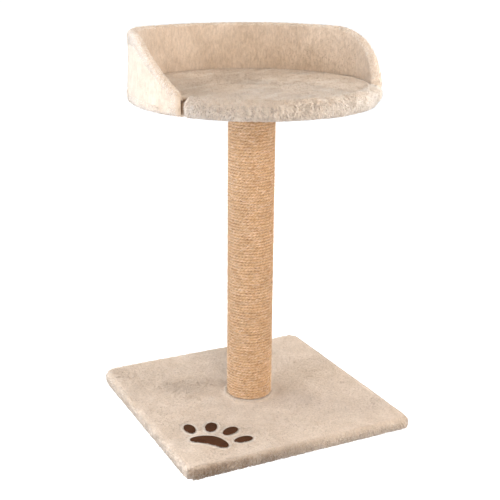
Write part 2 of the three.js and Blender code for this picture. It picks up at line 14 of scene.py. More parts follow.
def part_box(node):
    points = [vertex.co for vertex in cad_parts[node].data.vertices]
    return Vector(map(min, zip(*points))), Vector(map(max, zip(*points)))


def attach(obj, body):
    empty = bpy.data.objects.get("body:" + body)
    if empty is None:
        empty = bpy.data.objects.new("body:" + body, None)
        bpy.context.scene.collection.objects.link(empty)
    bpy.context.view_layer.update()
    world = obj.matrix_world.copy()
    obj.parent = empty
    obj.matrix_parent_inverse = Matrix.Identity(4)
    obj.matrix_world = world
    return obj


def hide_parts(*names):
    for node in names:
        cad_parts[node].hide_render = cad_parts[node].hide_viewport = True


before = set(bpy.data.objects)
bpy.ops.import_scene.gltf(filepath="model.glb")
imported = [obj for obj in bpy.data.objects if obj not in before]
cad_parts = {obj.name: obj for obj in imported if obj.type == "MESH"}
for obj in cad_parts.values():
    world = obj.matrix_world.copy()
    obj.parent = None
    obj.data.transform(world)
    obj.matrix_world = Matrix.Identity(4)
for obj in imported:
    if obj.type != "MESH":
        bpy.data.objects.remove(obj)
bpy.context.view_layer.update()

MM = 0.001
TURN = 2 * math.pi
UP = np.array([0, 0, 1.0])


def box_mm(node):
    """The lowest and highest corner of a CAD node in millimetres."""
    low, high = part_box(node)
    return np.array(low) / MM, np.array(high) / MM


# ---- Sizes ---------------------------------------------------------------------------------

base_low, base_high = box_mm("base_cover")
post_low, post_high = box_mm("sisal_winding")
seat_low, seat_high = box_mm("seat_cover")
wall_low, wall_high = box_mm("wall_cover")
board_low, board_high = box_mm("seat_board")

BASE_HALF = base_high[0]
BASE_TOP = base_high[2]
BASE_CORNER = 16.0
BASE_ROUND = 9.0
HEM_WIDTH = 35.0
SKIN = 1.1  # how far the plush's surface lies under the tips of its pile

POST_RADIUS = post_high[0]
POST_BOTTOM, POST_TOP = post_low[2], post_high[2]
ROPE_PITCH = 4.73

SEAT_Y = (board_low[1] + board_high[1]) / 2
BOARD_RADIUS = board_high[0]
HEM_BOTTOM = wall_low[2]
HEM_INNER = BOARD_RADIUS - HEM_WIDTH
SEAT_CROWN = 1.5
SEAT_EDGE_TOP = seat_high[2] - SEAT_CROWN
FRONT_OUTER = -seat_low[1] + SEAT_Y
FRONT_HALF = 57.7  # half of the open front, in degrees round the seat
COVER_OUTER = BOARD_RADIUS + 2.3
BACK_EDGE = COVER_OUTER - 0.9
SEAT_LIP = 1.6  # how far the front roll stands above the seat's edge

WALL_OUTER = wall_high[0]
WALL_INNER = WALL_OUTER - 14.4
WALL_LEVEL = wall_high[2]
WALL_HALF_ANGLE = 120.5
WALL_END_TOP = board_low[2] + 28
WALL_SLANT = 2.4  # how fast the ends slant, in mm for each degree

PAW_CENTRE = (-128.0, -128.0)
PAW_TURN = math.radians(47)  # clockwise from +Y


# ---- Random fields, blends and coordinates -------------------------------------------------


def field(points, size, seed, octaves=1):
    """A smooth random field, about -1 to 1. Random values sit on a lattice `size` mm apart, and a point
    takes the mean of the eight round it, weighted by 3t^2 - 2t^3 along each axis. Each further octave
    adds a copy at half the size and 0.55 times the strength."""
    cells = np.random.default_rng(seed).uniform(-1, 1, (64, 64, 64))
    size = np.asarray(size, float)
    total, strength, whole = 0.0, 1.0, 0.0
    for _ in range(octaves):
        place = points / size
        corner = np.floor(place).astype(np.int64)
        t = place - corner
        t = t * t * (3 - 2 * t)
        value = 0.0
        for i in range(8):
            step = np.array([i & 1, i >> 1 & 1, i >> 2 & 1])
            at = (corner + step) % 64
            share = np.where(step, t, 1 - t).prod(-1)
            value = value + share * cells[at[..., 0], at[..., 1], at[..., 2]]
        total = total + strength * value
        whole += strength
        strength *= 0.55
        size = size / 2.03
        points = points + 17.3
    return 1.6 * total / whole


def smooth_step(low, high, x):
    """0 below low, 1 above high, and 3t^2 - 2t^3 between."""
    t = np.clip((x - low) / (high - low), 0, 1)
    return t * t * (3 - 2 * t)


def bell(x, middle, width):
    """1 at the middle, falling off on both sides as exp(-d^2), with d in widths."""
    return np.exp(-(((x - middle) / width) ** 2))


def unit(v):
    return v / np.maximum(np.linalg.norm(v, axis=-1, keepdims=True), 1e-9)


def coords(*parts):
    """Coordinates, or angles and heights, side by side along a last axis."""
    return np.stack(np.broadcast_arrays(*parts), -1)


def on_circle(radius, angle, height=0.0, y=0.0):
    """Points round an upright axis, by their angle from +X."""
    return coords(radius * np.cos(angle), y + radius * np.sin(angle), height)


def raised(plan, height):
    """Plan points at a height."""
    return coords(plan[..., 0], plan[..., 1], height)


def level_away(points, centre):
    """Level unit directions from a centre to each point."""
    away = points - centre
    away[..., 2] = 0
    return unit(away)


def closed(grid):
    """A grid whose first column is repeated after its last."""
    return np.concatenate([grid, grid[:, :1]], 1)


def quarter_turn(steps):
    """The angles after each step of a quarter turn."""
    return [math.pi / 2 * k / steps for k in range(1, steps + 1)]


def half_turn(steps):
    """The angles between the steps of half a turn, without its ends."""
    return [math.pi * k / steps for k in range(1, steps)]


# ---- Meshes --------------------------------------------------------------------------------


def new_piece(name, points, faces, material, slot=None, replaced=(), smooth=True, attributes=None, bake=None,
              weave=None):
    """A mesh object from points in mm and a list of face arrays, each of faces with the same number of
    corners. attributes are point values by name. bake and weave are maps, each a list of one array of
    corner places per face array. A piece with a slot rides on the one body. The CAD nodes that a piece
    replaces are hidden."""
    points = np.reshape(points, (-1, 3))
    mesh = bpy.data.meshes.new(name)
    mesh.vertices.add(len(points))
    mesh.vertices.foreach_set("co", (points * MM).astype(np.float32).ravel())
    corners = np.concatenate([f.ravel() for f in faces]).astype(np.int32)
    counts = np.concatenate([np.full(len(f), f.shape[1]) for f in faces])
    mesh.loops.add(len(corners))
    mesh.loops.foreach_set("vertex_index", corners)
    mesh.polygons.add(len(counts))
    mesh.polygons.foreach_set("loop_start", np.concatenate([[0], np.cumsum(counts)[:-1]]).astype(np.int32))
    mesh.polygons.foreach_set("use_smooth", np.full(len(counts), smooth))
    for layer, places in (("OFBake", bake), ("weave", weave)):
        if places is not None:
            flat = np.concatenate([np.asarray(p).reshape(-1, 2) for p in places])
            mesh.uv_layers.new(name=layer).uv.foreach_set("vector", flat.astype(np.float32).ravel())
    for key, values in (attributes or {}).items():
        values = np.broadcast_to(np.ravel(values), len(points)).astype(np.float32)
        mesh.attributes.new(key, "FLOAT", "POINT").data.foreach_set("value", values)
    mesh.update(calc_edges=True)
    mesh.validate()
    mesh.materials.append(material)
    piece = bpy.data.objects.new(name, mesh)
    bpy.context.scene.collection.objects.link(piece)
    if slot:
        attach(piece, "root")
    if replaced:
        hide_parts(*replaced)
    return piece


def grid_faces(rows, columns, start=0, wrap=False):
    """Quads of a grid of points numbered row by row from start. wrap joins the last column to the first."""
    i, j = np.meshgrid(np.arange(rows - 1), np.arange(columns if wrap else columns - 1), indexing="ij")
    after = (j + 1) % columns
    quads = [i * columns + j, i * columns + after, (i + 1) * columns + after, (i + 1) * columns + j]
    return start + np.stack(quads, -1).reshape(-1, 4)


def loop_faces(rows, columns, wrap=True):
    """Quads of a grid whose last row is joined to its first, as on a tube or a ring."""
    return grid_faces(rows + 1, columns, wrap=wrap) % (rows * columns)


def section_faces(rows, columns):
    """Faces of a closed section of `rows` points that is carried to `columns` places, with its two ends."""
    first = (np.arange(rows) * columns)[None]
    return [loop_faces(rows, columns, wrap=False), first, (first + columns - 1)[:, ::-1]]


def grid_uv(rows, columns, wrap=False, low=(0.0, 0.0), high=(1.0, 1.0)):
    """Corner places on a map for grid_faces: rows go up the map and columns across it."""
    across = columns if wrap else columns - 1
    i, j = np.meshgrid(np.arange(rows - 1), np.arange(across), indexing="ij")
    corner = np.stack([coords(j + a, i + b) for a, b in ((0, 0), (1, 0), (1, 1), (0, 1))], -2)
    share = corner.reshape(-1, 4, 2) / np.array([across, rows - 1])
    return np.array(low) + share * (np.array(high) - np.array(low))


def grid_normals(grid, wrap_rows=False):
    """Unit normals of a grid of points: the cross product of the differences along columns and along rows."""
    along_rows = np.roll(grid, -1, 0) - np.roll(grid, 1, 0) if wrap_rows else np.gradient(grid, axis=0)
    return unit(np.cross(np.gradient(grid, axis=1), along_rows))


# ---- Materials -----------------------------------------------------------------------------

WHITE = (1.0, 1.0, 1.0)


class Finish:
    """A material with one shader, and short ways to add nodes to it."""

    def __init__(self, name, roughness, **sockets):
        self.material = bpy.data.materials.new(name)
        self.material.use_nodes = True
        self.tree = self.material.node_tree
        self.shader = self.tree.nodes["Principled BSDF"]
        self.shader.inputs["Roughness"].default_value = roughness
        for key, value in sockets.items():
            self.shader.inputs[key.replace("_", " ").title().replace("Ior", "IOR")].default_value = value

    def feed(self, socket, value):
        """Links a socket into another one, or sets a number or a colour on it."""
        if isinstance(value, bpy.types.NodeSocket):
            self.tree.links.new(value, socket)
        else:
            socket.default_value = value

    def node(self, kind, settings=None, **inputs):
        """A node with its inputs given by name, or as i0, i1 and so on by number."""
        made = self.tree.nodes.new("ShaderNode" + kind)
        for key, value in (settings or {}).items():
            setattr(made, key, value)
        for key, value in inputs.items():
            self.feed(made.inputs[int(key[1:]) if key[0] == "i" and key[1:].isdigit() else key], value)
        return made

    def place(self, scale=(1, 1, 1)):
        """Object coordinates, stretched."""
        coordinates = self.node("TexCoord").outputs["Object"]
        return self.node("Mapping", Vector=coordinates, Scale=scale).outputs["Vector"]

    def map(self, scale):
        """The piece's own woven map, stretched."""
        coordinates = self.node("UVMap", {"uv_map": "weave"}).outputs["UV"]
        return self.node("Mapping", Vector=coordinates, Scale=scale).outputs["Vector"]

    def noise(self, place, scale, detail=2.0, roughness=0.55, distortion=0.0):
        settings = dict(Vector=place, Scale=scale, Detail=detail, Roughness=roughness, Distortion=distortion)
        return self.node("TexNoise", **settings).outputs["Fac"]

    def cells(self, place, scale, randomness):
        """A pattern of cells, such as chips or bonded dimples."""
        settings = dict(Vector=place, Scale=scale, Randomness=randomness)
        return self.node("TexVoronoi", {"feature": "F1"}, **settings).outputs

    def attribute(self, name):
        return self.node("Attribute", {"attribute_name": name}).outputs["Fac"]

    def ramp(self, value, *stops):
        """A colour for each place from 0 to 1, blended between the stops given as (place, (r, g, b))."""
        made = self.node("ValToRGB", i0=value)
        bar = made.color_ramp.elements
        while len(bar) < len(stops):
            bar.new(0.5)
        for element, (at, colour) in zip(bar, stops):
            element.position = at
            element.color = (*colour, 1)
        return made.outputs["Color"]

    def mix(self, share, first, second, blend="MIX"):
        made = self.node("Mix", {"data_type": "RGBA", "blend_type": blend})
        for socket, value in ((made.inputs[0], share), (made.inputs[6], first), (made.inputs[7], second)):
            self.feed(socket, (*value, 1) if isinstance(value, tuple) else value)
        return made.outputs[2]

    def times(self, colour, *shades):
        """A colour multiplied by each shade in turn."""
        for shade in shades:
            colour = self.mix(1.0, colour, shade, "MULTIPLY")
        return colour

    def span(self, value, low, high, to_low=0.0, to_high=1.0):
        return self.node("MapRange", Value=value, i1=low, i2=high, i3=to_low, i4=to_high).outputs[0]

    def shade(self, value, low, high, dark, light=WHITE):
        """Dark where the value is at or below low, and light at or above high."""
        return self.mix(self.span(value, low, high), dark, light)

    def colour(self, socket):
        self.feed(self.shader.inputs["Base Color"], socket)

    def bump(self, height, strength, distance):
        made = self.node("Bump", Height=height, Strength=strength, Distance=distance)
        self.feed(self.shader.inputs["Normal"], made.outputs["Normal"])


def plush_finish():
    """Cream pile: tan at its roots and pale at its tips, with swirls where the nap was brushed, softer
    blotches, single threads and grain. The tan at the roots is partly painted shade down among the locks.
    `tip` is 0 at a root and 1 at a tip. `pale` is 1 on bleached pile, as in the rim round the paw, and it
    also paints light: a painted sheen along the wall's crown, ends and foot, and painted light on the right
    of the seat's front roll and round the post's foot. A third attribute, 0 to 1, paints shade, dark brown
    at 1: down in the seat's slits, between the locks of the front roll, on the base's front with a painted
    contact shadow along its foot, and a little over the base's top, with some random mottle there and
    between the seat's pale strokes."""
    finish = Finish("cream plush", 0.92, sheen_weight=0.5, sheen_roughness=0.5, specular_ior_level=0.12)
    finish.shader.inputs["Sheen Tint"].default_value = (1.0, 0.98, 0.95, 1)
    place = finish.place()
    # The darker root colours are partly painted shade down among the locks.
    pile = finish.ramp(
        finish.attribute("tip"),
        (0.0, (0.56, 0.43, 0.31)),
        (0.35, (0.825, 0.67, 0.525)),
        (1.0, (0.955, 0.825, 0.69)),
    )
    brushed = finish.shade(finish.noise(place, 15, 3, 0.55, 1.4), 0.36, 0.64, (0.89, 0.865, 0.835))
    blotched = finish.shade(finish.noise(place, 60, 3, 0.6, 0.8), 0.36, 0.64, (0.945, 0.935, 0.92))
    thread = finish.noise(finish.place((1, 1, 0.35)), 800, 2, 0.6)
    threads = finish.shade(thread, 0.38, 0.62, (0.91, 0.895, 0.875))
    coarse = finish.noise(finish.place((1, 1, 0.4)), 270, 2, 0.6)
    grain = finish.shade(coarse, 0.36, 0.64, (0.86, 0.85, 0.835), (1.02, 1.02, 1.02))
    colour = finish.times(pile, brushed, blotched, threads, grain)
    # Pale pile: bleached round the paw, and elsewhere painted sheen and painted light.
    colour = finish.mix(finish.attribute("pale"), colour, (0.95, 0.87, 0.775))
    # Painted shade, with some random mottle: the colour darkens towards dark brown where the attribute is 1.
    deep = finish.mix(finish.attribute("deep"), WHITE, (0.30, 0.22, 0.15))
    finish.colour(finish.times(colour, deep))
    finish.bump(finish.noise(place, 650, 3, 0.6), 0.35, 0.001)
    return finish.material


def sisal_finish():
    """Golden sisal strand. On its own map, u runs along the strand in metres and v once round it, so the
    noise is drawn out into fibres. `depth` is 0 on the rope's outside and 1 down between its strands and
    turns, and the colour darkens with it: painted shade in the valleys between the strands, and a painted
    shadow in the grooves between turns, broken into dashes where fibre lies over them."""
    finish = Finish("sisal", 0.6, sheen_weight=0.3, sheen_roughness=0.45, specular_ior_level=0.35)
    finish.shader.inputs["Sheen Tint"].default_value = (1.0, 0.94, 0.86, 1)
    fibre = finish.noise(finish.map((160, 9, 1)), 1.0, 3, 0.7, 0.3)
    length = finish.noise(finish.map((150, 1, 1)), 1.0, 2, 0.5)
    depth = finish.attribute("depth")
    colour = finish.ramp(
        fibre, (0.34, (0.57, 0.33, 0.155)), (0.5, (0.85, 0.55, 0.30)), (0.66, (1.0, 0.85, 0.64))
    )
    patch = finish.noise(finish.place((1, 1, 2.2)), 55, 3, 0.65)
    patched = finish.shade(patch, 0.38, 0.66, (0.80, 0.75, 0.70))
    lengths = finish.shade(length, 0.3, 0.7, (0.88, 0.85, 0.80))
    # Painted shadow in the grooves between turns, in dashes, and painted shade in the valleys between
    # strands.
    here, shaded = finish.span(depth, 0.2, 0.6), finish.span(length, 0.47, 0.6)
    gap = finish.node("Math", {"operation": "MULTIPLY"}, i0=here, i1=shaded).outputs[0]
    groove_shade = finish.mix(gap, WHITE, (0.38, 0.26, 0.16))
    valley_shade = finish.shade(depth, 0.05, 0.26, WHITE, (0.80, 0.70, 0.58))
    finish.colour(finish.times(colour, patched, lengths, groove_shade, valley_shade))
    finish.bump(fibre, 0.8, 0.0007)
    return finish.material


def fibre_finish():
    """Straw-pale single fibres of the sisal, some darker."""
    finish = Finish("sisal fibre", 0.6, sheen_weight=0.3, sheen_roughness=0.45, specular_ior_level=0.4)
    tone = finish.noise(finish.place(), 260, 2, 0.5)
    stops = (0.32, (0.62, 0.38, 0.20)), (0.5, (0.90, 0.66, 0.42)), (0.7, (0.97, 0.80, 0.60))
    finish.colour(finish.ramp(tone, *stops))
    return finish.material


def thread_finish():
    """Dark brown satin stitching: fine parallel threads across each patch."""
    finish = Finish("satin stitching", 0.6, sheen_weight=0.02, sheen_roughness=0.4, specular_ior_level=0.12)
    thread = finish.noise(finish.map((1.2, 60, 1)), 1.0, 2, 0.6)
    patch = finish.noise(finish.place(), 70, 2, 0.5)
    stops = (0.3, (0.036, 0.012, 0.004)), (0.55, (0.070, 0.025, 0.009)), (0.8, (0.115, 0.046, 0.018))
    colour = finish.ramp(thread, *stops)
    finish.colour(finish.mix(finish.span(patch, 0.35, 0.65, 0.0, 0.35), colour, (0.125, 0.052, 0.021)))
    finish.bump(thread, 0.35, 0.0004)
    return finish.material


def cloth_finish():
    """Thin grey-beige non-woven cloth, with a bonded dimple pattern."""
    finish = Finish("non-woven cloth", 0.85, sheen_weight=0.2, specular_ior_level=0.25)
    fibre = finish.noise(finish.place((1, 0.4, 1)), 650, 3, 0.65, 1.5)
    dimple = finish.cells(finish.place(), 420.0, 0.15)["Distance"]
    colour = finish.ramp(fibre, (0.3, (0.36, 0.325, 0.275)), (0.7, (0.52, 0.475, 0.41)))
    finish.colour(finish.mix(finish.span(dimple, 0.0, 0.5, 0.35, 0.0), colour, (0.30, 0.27, 0.23)))
    finish.bump(dimple, 0.4, 0.0005)
    return finish.material


def wadding_finish():
    """White wadding, a little fibrous."""
    finish = Finish("wadding", 0.95, sheen_weight=0.3, specular_ior_level=0.2)
    fibre = finish.noise(finish.place(), 260, 4, 0.65, 2.0)
    finish.colour(finish.ramp(fibre, (0.3, (0.70, 0.68, 0.62)), (0.65, (0.84, 0.83, 0.78))))
    finish.bump(fibre, 0.6, 0.001)
    return finish.material


def chipboard_finish():
    """Raw chipboard: flat chips of light and dark wood, pressed in layers."""
    finish = Finish("chipboard", 0.8, specular_ior_level=0.3)
    chips = finish.cells(finish.place((1, 1, 2.2)), 330.0, 1.0)
    tone = finish.node("SeparateColor", i0=chips["Color"]).outputs[0]
    grain = finish.noise(finish.place((1, 0.2, 1)), 900, 3, 0.6)
    dark = (0.0, (0.30, 0.175, 0.085)), (0.35, (0.50, 0.32, 0.17))
    light = (0.75, (0.64, 0.45, 0.26)), (1.0, (0.74, 0.57, 0.36))
    colour = finish.ramp(tone, *dark, *light)
    finish.colour(finish.mix(finish.span(grain, 0.35, 0.7, 0.4, 0.0), colour, (0.40, 0.26, 0.14)))
    finish.bump(chips["Distance"], 0.35, 0.0006)
    return finish.material


def hardboard_finish():
    """Brown hardboard: fine pressed fibre, faintly mottled."""
    finish = Finish("hardboard", 0.55, specular_ior_level=0.35)
    fibre = finish.noise(finish.place(), 420, 5, 0.7, 0.8)
    mottle = finish.noise(finish.place(), 45, 3, 0.55)
    colour = finish.ramp(fibre, (0.3, (0.15, 0.083, 0.042)), (0.7, (0.27, 0.16, 0.085)))
    finish.colour(finish.mix(finish.span(mottle, 0.4, 0.65, 0.0, 0.3), colour, (0.33, 0.20, 0.11)))
    finish.bump(fibre, 0.3, 0.0005)
    return finish.material


def plug_finish():
    """Turned softwood with rings that run along the plug."""
    finish = Finish("softwood", 0.65, specular_ior_level=0.3)
    kind = {"wave_type": "RINGS", "rings_direction": "X"}
    waves = dict(Vector=finish.place((0.25, 1, 1)), Scale=110.0, Distortion=3.0, Detail=3.0)
    rings = finish.node("TexWave", kind, **waves).outputs["Fac"]
    stops = (0.1, (0.66, 0.45, 0.25)), (0.75, (0.50, 0.31, 0.15)), (1.0, (0.42, 0.24, 0.11))
    finish.colour(finish.ramp(rings, *stops))
    finish.bump(rings, 0.25, 0.0004)
    return finish.material


def cardboard_finish():
    """A tube wound from brown paper: slanted seams and flecked fibre."""
    finish = Finish("cardboard", 0.85, specular_ior_level=0.25)
    fleck = finish.noise(finish.place(), 700, 4, 0.65)
    kind = {"wave_type": "BANDS", "bands_direction": "Z"}
    seam = finish.node("TexWave", kind, Vector=finish.place(), Scale=5.5, Distortion=0.4).outputs["Fac"]
    colour = finish.ramp(fleck, (0.3, (0.30, 0.20, 0.115)), (0.65, (0.46, 0.33, 0.21)))
    finish.colour(finish.mix(finish.span(seam, 0.96, 1.0, 0.0, 0.6), colour, (0.22, 0.14, 0.08)))
    finish.bump(fleck, 0.3, 0.0004)
    return finish.material


def steel_finish():
    """Zinc plate: pale bluish metal with fine drawing marks and cloudy roughness."""
    finish = Finish("zinc plated steel", 0.35, metallic=1.0)
    cloud = finish.noise(finish.place(), 160, 3, 0.6)
    finish.colour(finish.ramp(cloud, (0.3, (0.50, 0.51, 0.53)), (0.7, (0.68, 0.69, 0.70))))
    finish.feed(finish.shader.inputs["Roughness"], finish.span(cloud, 0.3, 0.7, 0.26, 0.46))
    finish.bump(finish.noise(finish.place((1, 1, 0.06)), 2600, 2, 0.6), 0.15, 0.0002)
    return finish.material


PLUSH = plush_finish()
SISAL = sisal_finish()
FIBRE = fibre_finish()
THREAD = thread_finish()
CLOTH = cloth_finish()
WADDING = wadding_finish()
STEEL = steel_finish()
CHIPBOARD = chipboard_finish()

for material, nodes in {
    CHIPBOARD: ["base_board", "seat_board"],
    hardboard_finish(): ["wall_panel"],
    plug_finish(): ["post_plug_bottom", "post_plug_top"],
    cardboard_finish(): ["post_tube"],
    STEEL: ["base_washer", "base_bolt", "post_insert_bottom", "post_insert_top", "post_stud", "seat_tee_nut"]
    + [f"wall_screw_{i}" for i in range(1, 7)],
}.items():
    for node in nodes:
        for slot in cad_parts[node].material_slots:
            slot.material = material


# ---- Pile ----------------------------------------------------------------------------------


def scattered(grid, normals, weight, count, rng):
    """Random spots on a grid of points: a cell is chosen in proportion to its area times its weight, and
    the spot and its normal are blended from the cell's corners."""
    a, b, c, d = grid[:-1, :-1], grid[:-1, 1:], grid[1:, 1:], grid[1:, :-1]
    area = np.linalg.norm(np.cross(c - a, d - b), axis=-1) / 2
    chance = (area * np.broadcast_to(weight, grid.shape[:2])[:-1, :-1]).ravel()
    cell = rng.choice(chance.size, count, p=chance / chance.sum())
    i, j = np.unravel_index(cell, area.shape)
    s, t = rng.random((2, count, 1))

    def blend(values):
        near = values[i, j] * (1 - t) + values[i, j + 1] * t
        far = values[i + 1, j] * (1 - t) + values[i + 1, j + 1] * t
        return near * (1 - s) + far * s

    return blend(grid), unit(blend(normals))


# Faces of one lock, and their places in its square of the bake's map with the sides next to each other. A
# bent lock has two rings of three points and a tip, and a plain spike one ring and a tip.
THIRDS = ((0.1, 0.37), (0.37, 0.63), (0.63, 0.9))
FOOT_PLACES = [(0.1, 0.0), (0.5, 0.07), (0.9, 0.0)]
BENT_LOCK = [
    (
        [[0, 1, 4, 3], [1, 2, 5, 4], [2, 0, 3, 5]],
        [[(a, 0.1), (b, 0.1), (b, 0.6), (a, 0.6)] for a, b in THIRDS],
    ),
    (
        [[3, 4, 6], [4, 5, 6], [5, 3, 6], [2, 1, 0]],
        [[(a, 0.6), (b, 0.6), (0.37, 0.95)] for a, b in THIRDS] + [FOOT_PLACES],
    ),
]
SPIKE_FOOT = ((0.1, 0.1), (0.9, 0.1), (0.5, 0.4))
PLAIN_SPIKE = [
    (
        [[0, 1, 3], [1, 2, 3], [2, 0, 3], [2, 1, 0]],
        [[SPIKE_FOOT[k], SPIKE_FOOT[(k + 1) % 3], (0.5, 0.95)] for k in range(3)] + [FOOT_PLACES],
    )
]


def tufts(name, roots, normals, comb, length, width, lean, rng, pale=None, bent=True, floor=None, dark=0.12,
          mottle=None, deep=None, tone=1.0):
    """Pointed locks of pile, each a closed spike with three sides. It leaves the surface leaning by
    `lean` degrees from the normal towards its own part of `comb`, bends over as it grows, and narrows to
    a point. A lock that isn't bent is one plain spike. `tip` runs from `dark` at the root to 1 at the
    point, and `mottle`, a cell size in mm, a seed and a strength, makes patches of locks darker or paler.
    `tone` scales how far single locks differ."""
    count = len(roots)
    turn = rng.normal(0, 0.55, (count, 1))
    flat = unit(comb - normals * (comb * normals).sum(-1, keepdims=True))
    flat = flat * np.cos(turn) + np.cross(normals, flat) * np.sin(turn)
    angle = np.radians(lean + rng.normal(0, 9, (count, 1)))
    length = np.asarray(length).reshape(-1, 1) * rng.uniform(0.65, 1.3, (count, 1))
    width = width * rng.uniform(0.75, 1.3, (count, 1))
    side = np.cross(normals, flat)
    foot = roots - normals * 0.5

    def way(share):
        return normals * np.cos(angle * share) + flat * np.sin(angle * share)

    def triangle(centre, along, size):
        up = np.cross(side, along)
        around = [TURN * k / 3 + math.pi / 2 for k in range(3)]
        return [centre + size * (side * math.cos(a) + 0.7 * up * math.sin(a)) for a in around]

    if bent:
        middle = foot + way(0.75) * length * 0.5
        point = middle + way(1.3) * length * 0.55
        rings = [triangle(foot, way(0.6), width / 2), triangle(middle, way(1.0), width * 0.42), [point]]
        tips = [dark] * 3 + [0.7] * 3 + [1.0]
    else:
        rings = [triangle(foot, way(0.8), width / 2), [foot + way(1.0) * length]]
        tips = [max(dark, 0.3)] * 3 + [1.0]
    points = np.stack([p for ring in rings for p in ring], 1)
    if floor is not None:
        points[..., 2] = np.maximum(points[..., 2], floor)
    per = points.shape[1]
    start = (np.arange(count) * per)[:, None, None]
    # Each lock has a square of its own on the bake's map.
    squares = math.ceil(math.sqrt(count))
    corner = coords(np.arange(count) % squares, np.arange(count) // squares)[:, None, None, :]
    faces, bake = [], []
    for local, spots in BENT_LOCK if bent else PLAIN_SPIKE:
        faces.append((start + np.array(local)).reshape(-1, len(local[0])))
        bake.append(((corner + np.array(spots)) / squares).reshape(-1, len(local[0]), 2))
    tone = tone * rng.uniform(-0.14, 0.1, (count, 1))
    if mottle is not None:
        size, seed, strength = mottle
        tone = tone + strength * field(roots, size, seed, 2)[:, None]
    attributes = {"tip": np.clip(np.array(tips) + np.repeat(tone, per, 1), 0, 1).ravel()}
    for key, value in (("pale", pale), ("deep", deep)):
        if value is not None:
            attributes[key] = np.repeat(np.broadcast_to(value, count), per)
    new_piece(name, points, faces, PLUSH, "plush", attributes=attributes, bake=bake)


def nap(points, size, seed, first):
    """Directions of the brushed nap in plan: a first angle in degrees, swung by up to about 100 degrees
    by a slow random field, so that the pile lies in swirls."""
    angle = math.radians(first) + 1.7 * field(points, size, seed, 2)
    return coords(np.cos(angle), np.sin(angle), 0.0)


def pile_relief(points, seed, clumps=0.25, swells=0.35):
    """Height of the pile in mm: clumps 3 to 7 mm across over slow swells."""
    return clumps * field(points, 5.5, seed, 3) + swells * field(points, 42.0, seed + 1, 2)


# ---- Paw print -----------------------------------------------------------------------------

PAD_HALF_WIDTH = 31.0
PAD_HALF_DEPTH = 13.8
TOE_HALF_LENGTH = 15.0
# Across, ahead, lean in degrees and half width.
TOES = [
    (-44.7, 21.8, 42.5, 8.4),
    (-16.2, 39.0, 15.0, 9.2),
    (16.2, 39.0, -15.0, 9.2),
    (44.7, 21.8, -42.5, 8.4),
]
PAW_COS, PAW_SIN = math.cos(PAW_TURN), math.sin(PAW_TURN)
STITCH_PITCH = 0.85


def paw_local(x, y):
    """Plan coordinates along the print's own axes: across it, and towards its toes."""
    dx, dy = x - PAW_CENTRE[0], y - PAW_CENTRE[1]
    return dx * PAW_COS - dy * PAW_SIN, dx * PAW_SIN + dy * PAW_COS


def paw_world(across, ahead):
    x, y = PAW_CENTRE
    return x + across * PAW_COS + ahead * PAW_SIN, y - across * PAW_SIN + ahead * PAW_COS


def bezier(*controls):
    """Points of a Bezier curve of any degree, 14 of them, without its end."""
    t = np.linspace(0, 1, 14, endpoint=False)[:, None]
    points = [np.array(c, float)[None] + 0 * t for c in controls]
    while len(points) > 1:
        points = [a * (1 - t) + b * t for a, b in zip(points[:-1], points[1:])]
    return points[0]


def pad_outline():
    """The pad: bowed towards the toes, a little hollow behind, with round ends. Its right half is two
    curves, and its left half the same mirrored."""
    w, d = PAD_HALF_WIDTH, PAD_HALF_DEPTH
    back = bezier((-0.7 * w, -d), (0, -0.6 * d), (0.7 * w, -d))
    end = bezier((0.7 * w, -d), (1.08 * w, -d), (1.08 * w, -0.2 * d), (0.8 * w, 0.25 * d))
    brow = bezier((0.8 * w, 0.25 * d), (0.55 * w, 0.75 * d), (0.25 * w, d), (0, d))
    right = np.concatenate([end, brow, [[0, d]]])
    return np.concatenate([back, right, right[-2:0:-1] * (-1, 1)])


def toe_outline(side, ahead, lean, half_width):
    """An ellipse, a little wider at its outer end."""
    t = np.linspace(0, TURN, 64, endpoint=False)
    x = half_width * np.cos(t) * (1 + 0.06 * np.sin(t))
    y = TOE_HALF_LENGTH * np.sin(t)
    c, s = math.cos(math.radians(lean)), math.sin(math.radians(lean))
    return coords(side + x * c - y * s, ahead + x * s + y * c)


PAW_SHAPES = [("paw_pad", pad_outline())]
PAW_SHAPES += [(f"paw_toe_{i + 1}", toe_outline(*toe)) for i, toe in enumerate(TOES)]


def paw_distance(x, y):
    """How far a plan point is outside the nearest patch of the print, in mm, less than 0 inside it. A
    point is inside an outline when a line from it crosses the outline an odd number of times."""
    at = coords(*paw_local(x, y)).reshape(-1, 2)
    nearest = np.full(len(at), 200.0)
    close = (np.abs(at[:, 0]) < 90) & (at[:, 1] > -50) & (at[:, 1] < 90)
    at = at[close]
    best = np.full(len(at), 200.0)
    for _, outline in PAW_SHAPES:
        after = np.roll(outline, -1, 0)
        edge = after - outline
        offset = at[:, None] - outline[None]
        share = np.clip((offset * edge).sum(-1) / (edge * edge).sum(-1), 0, 1)
        gap = np.linalg.norm(offset - share[..., None] * edge, axis=-1).min(1)
        crosses = (outline[None, :, 1] > at[:, None, 1]) != (after[None, :, 1] > at[:, None, 1])
        rise = np.where(np.abs(edge[:, 1]) < 1e-9, 1e-9, edge[:, 1])
        meets = outline[None, :, 0] + (at[:, None, 1] - outline[None, :, 1]) / rise * edge[:, 0]
        inside = (crosses & (at[:, None, 0] < meets)).sum(1) % 2 == 1
        best = np.minimum(best, np.where(inside, -gap, gap))
    nearest[close] = best
    return nearest.reshape(np.shape(x))


